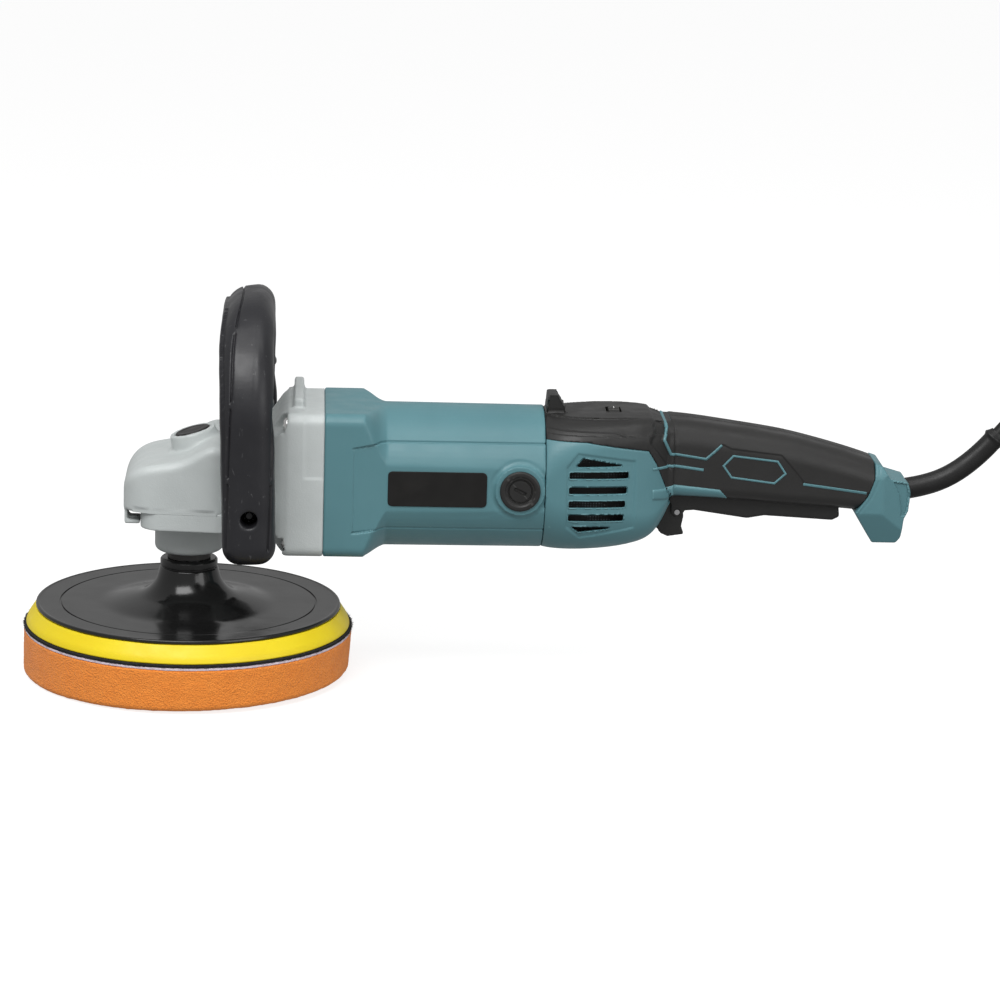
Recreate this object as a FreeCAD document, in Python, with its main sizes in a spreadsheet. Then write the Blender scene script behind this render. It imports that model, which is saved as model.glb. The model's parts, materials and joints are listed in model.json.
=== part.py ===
"""Rotary polisher: a 180 mm pad on a right-angle gear head, with a loop handle and a rear grip.

Frame, in millimetres: the origin is the centre of the foam pad's working face, +Z runs up
the spindle, and +X runs back along the motor to the cord. The far side is at +Y.
"""
import FreeCAD, Part
import math
import os
import Sketcher

os.makedirs("parts", exist_ok=True)
doc = FreeCAD.newDocument("RotaryPolisher")
V = FreeCAD.Vector

DRIVING = {
    # the pad stack
    "pad_radius": 90, "foam_top": 24.5, "loop_top": 26, "hook_top": 27.5, "cushion_top": 37,
    "plate_radius": 83.5, "plate_rim_top": 39.2, "hub_radius": 15.7, "hub_top": 64,
    "hub_flare": 23, "insert_radius": 10,
    # the spindle and its bearings
    "spindle_radius": 6, "journal_radius": 4, "spindle_thread": 6.95, "spindle_top": 120.3,
    "low_bearing_base": 71, "low_bearing_height": 10, "low_bearing_radius": 16,
    "top_bearing_base": 110.5, "top_bearing_height": 10, "top_bearing_radius": 6,
    "running_gap": 0.05,
    # the gears
    "gear_radius": 22.5, "gear_base": 98, "gear_teeth": 41, "pinion_teeth": 9, "mesh_gap": 0.25,
    # the gear head
    "boss_bottom": 68.5, "boss_radius": 18.75, "cover_bottom": 86.5, "cover_top": 96,
    "cover_front": -25.7, "cover_rear": 38, "cover_half": 34.5, "case_wall": 3.5,
    "flange_front": 53, "flange_rear": 73, "flange_half": 39.5, "flange_corner": 6,
    "screw_pitch_half": 32.5,
    # the spindle lock
    "lock_x": 1, "lock_height": 135.7, "lock_tilt": 16, "lock_button_radius": 9.6,
    "lock_ring_radius": 12.6, "lock_pin_radius": 2.5, "lock_pin_side": 9,
    # the loop handle
    "handle_x": 33.5, "handle_bolt_height": 102, "handle_half": 70, "handle_thick": 22.5,
    "handle_wide": 29.4, "handle_top": 213.8, "handle_bottom": 75.5, "handle_lean": -1.7,
    "handle_bolt_radius": 3, "handle_head_radius": 4.3,
    # the motor
    "motor_height": 113, "housing_front_radius": 39.3, "housing_radius": 38.9,
    "housing_rear": 192.3, "flange_back": 95,
    "shaft_radius": 4, "core_radius": 19, "core_front": 106, "core_length": 52,
    "stator_radius": 33, "air_gap": 0.6, "commutator_front": 170, "commutator_length": 17,
    "commutator_radius": 11, "fan_radius": 32, "fan_front": 82, "fan_length": 10,
    "brush_x": 178.6, "brush_cap_radius": 11, "brush_cap_seat": 36.4,
    "label_x": 134, "label_length": 53.5, "label_height": 19.3,
    # the rear housing and grip
    "shell_wall": 2.6, "grip_skin": 2.4,
    "slot_half": 10.8, "trigger_half": 10.2, "trigger_pivot_x": 349, "trigger_pivot_z": 106.5,
    "lever_pin_x": 266.8, "lever_pin_z": 95.9, "lever_half": 8.5,
    "dial_x": 230.7, "dial_radius": 13, "dial_height": 139, "dial_width": 6,
    # the cord
    "cord_diameter": 8, "coil_x": 522, "coil_outer": 58, "coil_inner": 34, "coil_high": 24,
    "plug_pin_radius": 2.4, "plug_pin_length": 19, "plug_pin_gap": 19,
}

sheet = doc.addObject("Spreadsheet::Sheet", "Sizes")
for row, (alias, number) in enumerate(DRIVING.items(), 1):
    sheet.set(f"A{row}", str(number))
    sheet.setAlias(f"A{row}", alias)
doc.recompute()


class Size:
    """A length that knows its number and the formula that gives it from the sheet."""

    def __init__(self, number, formula=None):
        self.number = float(number)
        self.formula = formula or f"{float(number):g}"

    def join(self, other, sign, number):
        return Size(number, f"({self.formula} {sign} {as_size(other).formula})")

    def __add__(self, other):
        return self.join(other, "+", self.number + as_size(other).number)

    def __sub__(self, other):
        return self.join(other, "-", self.number - as_size(other).number)

    def __mul__(self, other):
        return self.join(other, "*", self.number * as_size(other).number)

    def __truediv__(self, other):
        return self.join(other, "/", self.number / as_size(other).number)

    def __neg__(self):
        return Size(-self.number, f"(0 - {self.formula})")

    def __radd__(self, other):
        return as_size(other) + self

    def __rsub__(self, other):
        return as_size(other) - self

    def __rmul__(self, other):
        return as_size(other) * self


def as_size(value):
    return value if isinstance(value, Size) else Size(value)


class Sheet:
    """Each driving dimension by its name, as a Size."""

    def __getattr__(self, alias):
        return Size(DRIVING[alias], f"Sizes.{alias}")


d = Sheet()
NODES = {}


# ---------------------------------------------------------------- building helpers

def bind(thing, name, value):
    """Gives a property its number, and its formula if the sheet drives it."""
    value = as_size(value)
    setattr(thing, name, value.number)
    if "Sizes." in value.formula:
        thing.setExpression(name, value.formula)


def place(thing, at, axis="Z", turn=None):
    """Puts a piece at a point, with its own Z along the named axis."""
    turns = {
        "Z": FreeCAD.Rotation(),
        "X": FreeCAD.Rotation(V(0, 1, 0), 90),
        "Y": FreeCAD.Rotation(V(1, 0, 0), -90),
        "-Y": FreeCAD.Rotation(V(1, 0, 0), 90),
        "-Z": FreeCAD.Rotation(V(1, 0, 0), 180),
    }
    spots = [as_size(a) for a in at]
    rotation = turn or turns[axis]
    thing.Placement = FreeCAD.Placement(V(*[s.number for s in spots]), rotation)
    for letter, spot in zip("xyz", spots):
        if "Sizes." in spot.formula:
            thing.setExpression(f"Placement.Base.{letter}", spot.formula)
    return thing


def rod(radius, length, at, axis="Z", turn=None):
    piece = doc.addObject("Part::Cylinder", "Rod")
    bind(piece, "Radius", radius)
    bind(piece, "Height", length)
    return place(piece, at, axis, turn)


def taper(radius_1, radius_2, length, at, axis="Z", turn=None):
    piece = doc.addObject("Part::Cone", "Taper")
    bind(piece, "Radius1", radius_1)
    bind(piece, "Radius2", radius_2)
    bind(piece, "Height", length)
    return place(piece, at, axis, turn)


def block(low, high):
    """A box between two corners."""
    piece = doc.addObject("Part::Box", "Block")
    for name, a, b in zip(("Length", "Width", "Height"), low, high):
        bind(piece, name, as_size(b) - a)
    return place(piece, low)


def cut(base, *tools):
    result = doc.addObject("Part::Cut", "Cut")
    result.Base = base
    result.Tool = tools[0] if len(tools) == 1 else fuse(*tools)
    return result


def fuse(*pieces):
    result = doc.addObject("Part::MultiFuse", "Fuse")
    result.Shapes = list(pieces)
    return result


def common(*pieces):
    result = doc.addObject("Part::MultiCommon", "Common")
    result.Shapes = list(pieces)
    return result


def group(*pieces):
    """Separate solids that share one node."""
    result = doc.addObject("Part::Compound", "Group")
    result.Links = list(pieces)
    return result


def tube(outer, inner, length, at, axis="Z"):
    spots = [as_size(a) for a in at]
    along = {"Z": (0, 0, 1), "X": (1, 0, 0), "Y": (0, 1, 0)}[axis]
    before = [s - a for s, a in zip(spots, along)]
    return cut(rod(outer, length, spots, axis), rod(inner, as_size(length) + 2, before, axis))


def copy_shape(source, shape=None):
    """A second solid worked out from a first by Part's own functions."""
    piece = doc.addObject("Part::Feature", "Shape")
    piece.Shape = shape if shape is not None else source.Shape.copy()
    return piece


def rounded(piece, radius, choose):
    """Rounds the edges of a piece that pass a test."""
    doc.recompute()
    result = doc.addObject("Part::Fillet", "Rounded")
    result.Base = piece
    edges = [n for n, e in enumerate(piece.Shape.Edges, 1) if choose(e)]
    result.Edges = [(n, radius, radius) for n in edges]
    return result


def node(name, piece):
    """Names a finished sub-part; its label is its file's name."""
    piece.Label = name
    NODES[name] = piece
    return piece


def plane_of(body, role):
    return next(f for f in body.Origin.OriginFeatures if f.Role == role)


def sketch_outline(body, role, corners, offset=0):
    """A closed outline in one of a body's own planes. A corner is (across, up, radius).

    Every corner is a construction point tied to its two sizes. The sides pass through
    the corners, and a corner with a radius has an arc that both its sides are tangent to.
    """
    sketch = body.newObject("Sketcher::SketchObject", "Outline")
    sketch.AttachmentSupport = [(plane_of(body, role), "")]
    sketch.MapMode = "FlatFace"
    offset = as_size(offset)
    sketch.AttachmentOffset = FreeCAD.Placement(V(0, 0, offset.number), FreeCAD.Rotation())
    if "Sizes." in offset.formula:
        sketch.setExpression("AttachmentOffset.Base.z", offset.formula)
    spots = [(as_size(c[0]), as_size(c[1])) for c in corners]
    radii = [as_size(c[2]) if len(c) > 2 else None for c in corners]
    points = [V(x.number, y.number, 0) for x, y in spots]
    count = len(points)
    ends = []
    for n, p in enumerate(points):
        back = (points[n - 1] - p).normalize()
        ahead = (points[(n + 1) % count] - p).normalize()
        reach = 0.0
        if radii[n] is not None:
            half = back.getAngle(ahead) / 2
            reach = radii[n].number / math.tan(half)
        ends.append((p + back * reach, p + ahead * reach, back, ahead))
    for n in range(count):
        start, stop = ends[n][1], ends[(n + 1) % count][0]
        sketch.addGeometry(Part.LineSegment(start, stop), False)

    def tie(kind, *where):
        return sketch.addConstraint(Sketcher.Constraint(kind, *where))

    def tie_size(kind, geometry, point, size):
        if kind == "Radius":
            index = tie(kind, geometry, size.number)
        else:
            index = tie(kind, -1, 1, geometry, point, size.number)
        if "Sizes." in size.formula:
            sketch.setExpression(f"Constraints[{index}]", size.formula)

    for n in range(count):
        before = (n - 1) % count
        x, y = spots[n]
        if radii[n] is None:
            tie("Coincident", before, 2, n, 1)
            tie_size("DistanceX", n, 1, x)
            tie_size("DistanceY", n, 1, y)
            continue
        first, last, back, ahead = ends[n]
        middle = (back + ahead).normalize()
        half = back.getAngle(ahead) / 2
        centre = points[n] + middle * (radii[n].number / math.sin(half))
        left = back.cross(ahead).z < 0
        a, b = (first, last) if left else (last, first)
        angles = [math.atan2(q.y - centre.y, q.x - centre.x) for q in (a, b)]
        circle = Part.Circle(centre, V(0, 0, 1), radii[n].number)
        arc = sketch.addGeometry(Part.ArcOfCircle(circle, angles[0], angles[1]), False)
        tie("Tangent", before, 2, arc, 1 if left else 2)
        tie("Tangent", n, 1, arc, 2 if left else 1)
        tie_size("Radius", arc, 0, radii[n])
        corner = sketch.addGeometry(Part.Point(points[n]), True)
        tie("PointOnObject", corner, 1, before)
        tie("PointOnObject", corner, 1, n)
        tie_size("DistanceX", corner, 1, x)
        tie_size("DistanceY", corner, 1, y)
    return sketch


def slab(role, corners, low, high):
    """An outline in a body's plane, padded between two distances from that plane."""
    body = doc.addObject("PartDesign::Body", "Slab")
    sketch = sketch_outline(body, role, corners, low)
    pad = body.newObject("PartDesign::Pad", "Pad")
    pad.Profile = sketch
    bind(pad, "Length", as_size(high) - low)
    body.Tip = pad
    return body


def spun(corners, at=(0, 0, 0), axis="Z", turn=None):
    """An outline of (radius, along) corners, turned once about the named axis."""
    body = doc.addObject("PartDesign::Body", "Spun")
    sketch = sketch_outline(body, "XZ_Plane", corners)
    turned = body.newObject("PartDesign::Revolution", "Revolution")
    turned.Profile = sketch
    turned.ReferenceAxis = (sketch, ["V_Axis"])
    turned.Angle = 360
    body.Tip = turned
    return place(body, at, axis, turn)


def lofted(stations):
    """A smooth body through rounded rectangles across X.

    A station is (x, half width, bottom, top, lower corner radius, upper corner radius).
    """
    body = doc.addObject("PartDesign::Body", "Lofted")
    sketches = []
    for x, half, low, high, low_round, high_round in stations:
        half = as_size(half)
        corners = [(-half, low, low_round), (half, low, low_round),
                   (half, high, high_round), (-half, high, high_round)]
        sketches.append(sketch_outline(body, "YZ_Plane", corners, x))
    loft = body.newObject("PartDesign::AdditiveLoft", "Loft")
    loft.Profile = sketches[0]
    loft.Sections = sketches[1:]
    body.Tip = loft
    return body


def inset(stations, wall, open_low=None):
    """The same stations, one wall further in."""
    moved = []
    for x, half, low, high, low_round, high_round in stations:
        floor = open_low if open_low is not None else as_size(low) + wall
        moved.append((x, as_size(half) - wall, floor, as_size(high) - wall,
                      max(low_round - wall, 0.5), max(high_round - wall, 0.5)))
    return moved


# ---------------------------------------------------------------- pad and spindle

def pad_stack():
    node("foam_pad", spun([(0, 0), (d.pad_radius, 0, 3.5), (d.pad_radius, d.foam_top, 1),
                           (0, d.foam_top)]))
    loop_radius = d.pad_radius - 0.4
    node("pad_loop_layer", rod(loop_radius, d.loop_top - d.foam_top, (0, 0, d.foam_top)))
    node("plate_hook_layer", rod(d.pad_radius, d.hook_top - d.loop_top, (0, 0, d.loop_top)))
    node("backing_cushion", spun([
        (0, d.hook_top), (d.pad_radius - 0.3, d.hook_top, 0.6),
        (d.plate_radius, d.cushion_top), (0, d.cushion_top)]))
    face = d.cushion_top + 1.9
    groove = d.plate_radius - 14
    plate = spun([
        (0, d.cushion_top), (d.plate_radius, d.cushion_top, 0.8),
        (d.plate_radius, d.plate_rim_top, 0.8), (d.plate_radius - 3, d.plate_rim_top),
        (d.plate_radius - 4, face), (groove + 0.7, face), (groove + 0.4, face - 0.7),
        (groove - 0.4, face - 0.7), (groove - 0.7, face),
        (d.hub_radius, face, d.hub_flare), (d.hub_radius, d.hub_top, 0.8),
        (d.insert_radius, d.hub_top), (d.insert_radius, d.cushion_top + 3),
        (0, d.cushion_top + 3)])
    node("backing_plate", plate)
    insert_base = d.cushion_top + 3
    node("plate_insert", tube(d.insert_radius, d.spindle_thread + d.running_gap,
                              d.hub_top - insert_base, (0, 0, insert_base)))


def spindle_set():
    shoulder = d.hub_top + 0.2
    node("spindle", spun([
        (0, d.hub_top - 18), (d.spindle_thread - 1, d.hub_top - 18),
        (d.spindle_thread, d.hub_top - 17), (d.spindle_thread, shoulder),
        (d.spindle_radius + 2, shoulder), (d.spindle_radius + 2, shoulder + 4),
        (d.spindle_radius, shoulder + 4), (d.spindle_radius, d.gear_base + 8),
        (d.journal_radius, d.gear_base + 8), (d.journal_radius, d.spindle_top - 0.5),
        (d.journal_radius - 0.5, d.spindle_top), (0, d.spindle_top)]))
    node("spindle_dust_ring", tube(11.75, d.spindle_radius + 2, 3.9, (0, 0, shoulder)))
    node("lower_spindle_bearing", tube(
        d.low_bearing_radius, d.spindle_radius + d.running_gap, d.low_bearing_height,
        (0, 0, d.low_bearing_base)))
    node("upper_spindle_bearing", tube(
        d.top_bearing_radius, d.journal_radius + d.running_gap, d.top_bearing_height,
        (0, 0, d.top_bearing_base)))


def crown_gear():
    """The big bevel gear. Its teeth stop just short of the pitch cone, and so do the
    pinion's, so the pair keeps its ratio without its solids ever touching."""
    slope = DRIVING["pinion_teeth"] / DRIVING["gear_teeth"]
    reach = DRIVING["gear_radius"]
    rim = d.motor_height - reach * slope - d.mesh_gap
    inner = 17.5
    inner_top = d.motor_height - inner * slope - d.mesh_gap
    web = d.gear_base + 7
    blank = spun([
        (d.spindle_radius, d.gear_base - 3), (10, d.gear_base - 3), (10, d.gear_base),
        (d.gear_radius - 1, d.gear_base), (d.gear_radius, d.gear_base + 1),
        (d.gear_radius, rim), (inner, inner_top), (inner, web), (d.spindle_radius, web)])
    teeth = DRIVING["gear_teeth"]
    gap = math.pi * reach / teeth * 0.9
    tools = []
    for n in range(teeth):
        turn = FreeCAD.Rotation(V(0, 0, 1), 360 * n / teeth)
        slot = Part.makeBox(reach - inner + 2, gap, 4, V(inner + 0.4, -gap / 2, 0))
        slot.rotate(V(inner, 0, 0), V(0, 1, 0), math.degrees(math.atan(slope)))
        slot.translate(V(0, 0, inner_top.number - 2.0))
        slot.Placement = FreeCAD.Placement(V(), turn) * slot.Placement
        tools.append(slot)
    for n in range(4):
        angle = math.radians(90 * n) + math.atan2(DRIVING["lock_pin_side"], 10.2)
        hole = Part.makeCylinder(3.4, 12, V(13.6 * math.cos(angle), 13.6 * math.sin(angle),
                                            DRIVING["gear_base"] + 1.5))
        tools.append(hole)
    node("crown_gear", cut(blank, copy_shape(None, Part.makeCompound(tools))))


def tilted(points):
    """Points along the lock's own axis: (toward the back, to the side, up the axis)."""
    angle = math.radians(DRIVING["lock_tilt"])
    spots = []
    for back, side, up in points:
        spots.append((d.lock_x + back * math.cos(angle) - up * math.sin(angle), side,
                      d.lock_height + back * math.sin(angle) + up * math.cos(angle)))
    return spots


def spindle_lock():
    """The lock's button, its pin beside the spindle's end, and the spring under it."""
    lean = FreeCAD.Rotation(V(0, 1, 0), -DRIVING["lock_tilt"])
    cap_low, lug_low = tilted([(0, 0, -6.5), (0, 6.5, -11)])
    cap = spun([(0, 0), (d.lock_button_radius, 0, 0.4), (d.lock_button_radius, 6.3, 0.8),
                (0, 6.9)], cap_low, turn=lean)
    lug = rod(2.2, 5, lug_low, turn=lean)
    node("lock_button", fuse(cap, lug))
    pin_foot = tilted([(0, DRIVING["lock_pin_side"], -30.2)])[0]
    arm = rod(1.6, 3.2, tilted([(0, 5.6, -14.2)])[0], turn=lean)
    shank = rod(d.lock_pin_radius, 17.4, pin_foot, turn=lean)
    bridge = block((-2.2, 4.6, 0), (2.2, 11, 2.2))
    place(bridge, tilted([(-2.2, 4.6, -15)])[0], turn=lean)
    node("lock_pin", fuse(shank, bridge, arm))
    spring = spring_coil(2.3, 0.4, 3.6, 4, tilted([(0, -5.5, -10.6)])[0], lean)
    node("lock_spring", spring)


def spring_coil(radius, wire, length, turns, at, turn=None, axis="Z"):
    """A coil spring: a round wire swept along a helix."""
    pitch = length / turns
    helix = Part.makeHelix(pitch, length, radius)
    start = Part.Wire([Part.Edge(Part.Circle(V(radius, 0, 0), V(0, 1, pitch / 6.3), wire))])
    solid = Part.Wire(helix.Edges).makePipeShell([start], True, True)
    return place(copy_shape(None, solid), at, axis, turn)


# ---------------------------------------------------------------- gear head

HEAD = [
    (-35, 20, 96, 108.5, 0.6, 4),
    (-32.6, 26.5, 96, 114.4, 0.6, 4.5),
    (-28, 31, 96, 118.8, 0.6, 4.5),
    (-20, 34, 96, 121.9, 0.6, 4.5),
    (0, 36, 96, 127.0, 0.6, 4.5),
    (20, 36.4, 96, 132.2, 0.6, 4.5),
]
NECK = [
    (20, 36.4, 92, 132.2, 4, 4.5),
    (34, 36.6, 88, 137.0, 4, 8),
    (43, 37, 84, 141.4, 4, 10),
    (49, 38.6, 76.5, 149.4, 5, 9),
    (53.6, 39.3, 74, 152.8, 5.5, 6),
]


def flange_plate(front, back, shrink=0.0):
    half = d.flange_half - shrink
    low = d.motor_height - half + 0.5
    high = d.motor_height + half + 0.5
    return slab("YZ_Plane", [
        (-half, low, d.flange_corner), (half, low, d.flange_corner),
        (half, high, d.flange_corner), (-half, high, d.flange_corner)], front, back)


def gear_case():
    outer = fuse(lofted(HEAD), lofted(NECK), flange_plate(d.flange_front, d.flange_rear))
    lock_foot = tilted([(0, 0, -12)])[0]
    lean = FreeCAD.Rotation(V(0, 1, 0), -DRIVING["lock_tilt"])
    ring = taper(d.lock_ring_radius + 1.4, d.lock_ring_radius, 11.6, lock_foot, turn=lean)
    rib = slab("XZ_Plane", [(56.2, 140), (61.6, 140), (61.6, 158.2, 1), (56.2, 158.2, 1)],
               -37.5, 22)
    lugs = [block((-34.4, s - 8, 87.6), (-24, s + 8, 97)) for s in (-15, 15)]
    ears = []
    for side in (-1, 1):
        start = -46.8 if side < 0 else 34
        ears.append(rod(11, 12.8, (d.handle_x, start, d.handle_bolt_height), "Y"))
    shell = fuse(outer, ring, rib, *lugs, *ears)
    head_hollow = lofted(inset(HEAD[1:], DRIVING["case_wall"], 90))
    neck_hollow = lofted([
        (19, 32, 95, 128.2, 2, 4), (34, 33, 93, 133, 2, 6), (44, 33, 90, 137, 3, 8),
        (60, 33, 84, 143, 8, 9)])
    motor_bore = rod(d.stator_radius - 1, 30, (50, 0, d.motor_height), "X")
    hollow = fuse(head_hollow, neck_hollow, motor_bore)
    seat = rod(d.top_bearing_radius + 3.2, 22, (0, 0, d.top_bearing_base))
    lock_guide = rod(d.lock_button_radius + 2.4, 9, lock_foot, turn=lean)
    bridge = common(fuse(seat, lock_guide), copy_of_head())
    hull = fuse(cut(shell, hollow), bridge)
    bores = [
        rod(d.top_bearing_radius, 14, (0, 0, d.top_bearing_base - 4)),
        rod(d.lock_button_radius + 0.3, 13, tilted([(0, 0, -6.9 - 4.9)])[0], turn=lean),
        rod(d.lock_pin_radius + 3.6, 30, tilted([(0, DRIVING["lock_pin_side"] - 2, -32)])[0],
            turn=lean),
        rod(3.6, 12, tilted([(0, 5, -17)])[0], turn=lean),
        rod(3.2, 12, tilted([(0, -5.5, -16.4)])[0], turn=lean),
        rod(d.handle_bolt_radius, 12.9, (d.handle_x, -46.9, d.handle_bolt_height), "Y"),
        rod(d.handle_bolt_radius, 12.9, (d.handle_x, 34, d.handle_bolt_height), "Y"),
    ]
    for y in (-1, 1):
        for z in (-1, 1):
            spot = (40, d.screw_pitch_half * y, d.motor_height + 0.5 + d.screw_pitch_half * z)
            bores.append(rod(2.1, 40, spot, "X"))
            bores.append(rod(6.6, 15.9, (37.1, spot[1], spot[2]), "X"))
    for side in (-1, 1):
        bores.append(rod(2.9, 7, (-31.5, 15 * side, 86.2)))
    bores.append(block((d.cover_front - 0.2, -37, 70), (d.cover_rear + 0.2, 37, d.cover_top)))
    node("gear_case", cut(hull, *bores))
    node("front_motor_bearing", tube(11, d.shaft_radius, 7, (58, 0, d.motor_height), "X"))
    node("bearing_carrier", cut(
        rod(d.stator_radius - 1, 11, (56, 0, d.motor_height), "X"),
        rod(11, 8, (58, 0, d.motor_height), "X"),
        rod(8, 12, (55.5, 0, d.motor_height), "X")))


def copy_of_head():
    return fuse(lofted(HEAD), lofted(NECK))


def gear_case_cover():
    low, high = d.cover_bottom, d.cover_top
    front, rear, half = d.cover_front, d.cover_rear, d.cover_half
    base = slab("XY_Plane", [
        (front, -half, 12), (rear, -half, 3), (rear, half, 3), (front, half, 12)], low, high)
    boss = spun([(0, d.boss_bottom), (d.boss_radius, d.boss_bottom, 3),
                 (d.boss_radius, d.cover_top), (0, d.cover_top)])
    floor = d.low_bearing_base + d.low_bearing_height
    tools = [
        rod(d.low_bearing_radius, 30, (0, 0, d.low_bearing_base)),
        rod(12.1, 20, (0, 0, d.boss_bottom - 1)),
        rod(26, 20, (0, 0, low + 3.2)),
    ]
    screws = []
    for x in (-14, 30):
        for y in (-27.5, 27.5):
            tools.append(rod(2.1, 20, (x, y, low - 1)))
            tools.append(rod(4.3, 3.5, (x, y, low - 0.5)))
            screws.append(pan_screw(2.05, 9, 4.0, 2.4, (x, y, low + 3), "Z"))
    node("gear_case_cover", cut(fuse(base, boss), *tools))
    node("cover_screws", group(*screws))


def pan_screw(shank, length, head, head_height, at, axis="Z"):
    """A screw: the point where the head meets the shank, with the shank along the axis."""
    body = spun([(0, -as_size(head_height)), (head, -as_size(head_height), 0.9), (head, 0),
                 (shank, 0), (shank, length), (0, length)], at, axis)
    return body


def flange_screws():
    screws = []
    for y in (-1, 1):
        for z in (-1, 1):
            spot = (53, d.screw_pitch_half * y, d.motor_height + 0.5 + d.screw_pitch_half * z)
            screws.append(pan_screw(2.0, 34, 3.9, 3, spot, "X"))
    node("flange_screws", group(*screws))


# ---------------------------------------------------------------- loop handle

def loop_handle():
    half, thick = d.handle_half, d.handle_thick
    low = d.handle_bottom - d.handle_bolt_height
    high = d.handle_top - d.handle_bolt_height
    inner = half - thick
    arch = slab("YZ_Plane", [
        (-half, low, 10.5), (-half, high, 62), (half, high, 62), (half, low, 10.5),
        (inner, low, 10.5), (inner, high - thick, 42), (-inner, high - thick, 42),
        (-inner, low, 10.5)], d.handle_wide * -0.5, d.handle_wide * 0.5)
    faces = DRIVING["handle_wide"] / 2
    soft = rounded(arch, 9.5, lambda e: abs(abs(e.BoundBox.XMin) - faces) < 0.01
                   and e.BoundBox.XLength < 0.01)
    tools = []
    for axis, side in (("-Y", -1), ("Y", 1)):
        tools.append(rod(d.handle_bolt_radius + 0.2, 40, (0, 40 * side, 0), axis))
        tools.append(rod(d.handle_head_radius + 0.2, 20, (0, 58 * side, 0), axis))
    lean = FreeCAD.Rotation(V(0, 1, 0), DRIVING["handle_lean"])
    body = cut(soft, *tools)
    node("loop_handle", place(body, (d.handle_x, 0, d.handle_bolt_height), turn=lean))
    bolts = []
    for axis, side in (("Y", -1), ("-Y", 1)):
        bolts.append(spun([
            (2.2, -4.6), (d.handle_head_radius, -4.6, 0.5), (d.handle_head_radius, 0),
            (d.handle_bolt_radius, 0), (d.handle_bolt_radius, 23), (0, 23), (0, -1.8),
            (2.2, -1.8)],
            (d.handle_x, 58.0 * side, d.handle_bolt_height), axis))
    node("handle_bolts", group(*bolts))


# ---------------------------------------------------------------- motor

def motor_housing():
    axis_at = (0, 0, d.motor_height)
    flange = flange_plate(d.flange_rear, d.flange_back)
    blend = lofted([
        (94.9, 39.4, 74.2, 152.8, 7, 7), (98, 39.2, 74.4, 152.4, 14, 14),
        (101, 39.1, 74.2, 152.0, 24, 24), (106, 39.0, 74.1, 151.9, 37, 37)])
    barrel = spun([(0, 100), (d.housing_front_radius, 100), (d.housing_radius, d.housing_rear),
                   (0, d.housing_rear)], axis_at, "X")
    flats = block((90, -37.2, 60), (d.housing_rear, 37.2, 166))
    outer = fuse(flange, blend, common(barrel, flats))
    bore = spun([(0, 70), (35.5, 70), (35.5, 98), (d.stator_radius, 104),
                 (d.stator_radius, 160), (35, 164), (35, 200), (0, 200)], axis_at, "X")
    brush_holes = rod(8.2, 100, (d.brush_x, -50, d.motor_height), "Y")
    bosses = rod(13.6, 39.0 * 2, (d.brush_x, -39.0, d.motor_height), "Y")
    screws = []
    for y in (-1, 1):
        for z in (-1, 1):
            spot = (70, d.screw_pitch_half * y, d.motor_height + 0.5 + d.screw_pitch_half * z)
            screws.append(rod(2.0, 18, spot, "X"))
    node("motor_housing", cut(fuse(outer, bosses), bore, brush_holes, *screws))
    labels = []
    for side in (-1, 1):
        low = 37.2 if side > 0 else -37.8
        x, z = d.label_length / 2, d.label_height / 2
        plate = slab("XZ_Plane", [(d.label_x - x, -z, 2.5), (d.label_x + x, -z, 2.5),
                                  (d.label_x + x, z, 2.5), (d.label_x - x, z, 2.5)],
                     -low - 0.6, -low)
        labels.append(place(plate, axis_at))
    node("side_labels", group(*labels))


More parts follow.
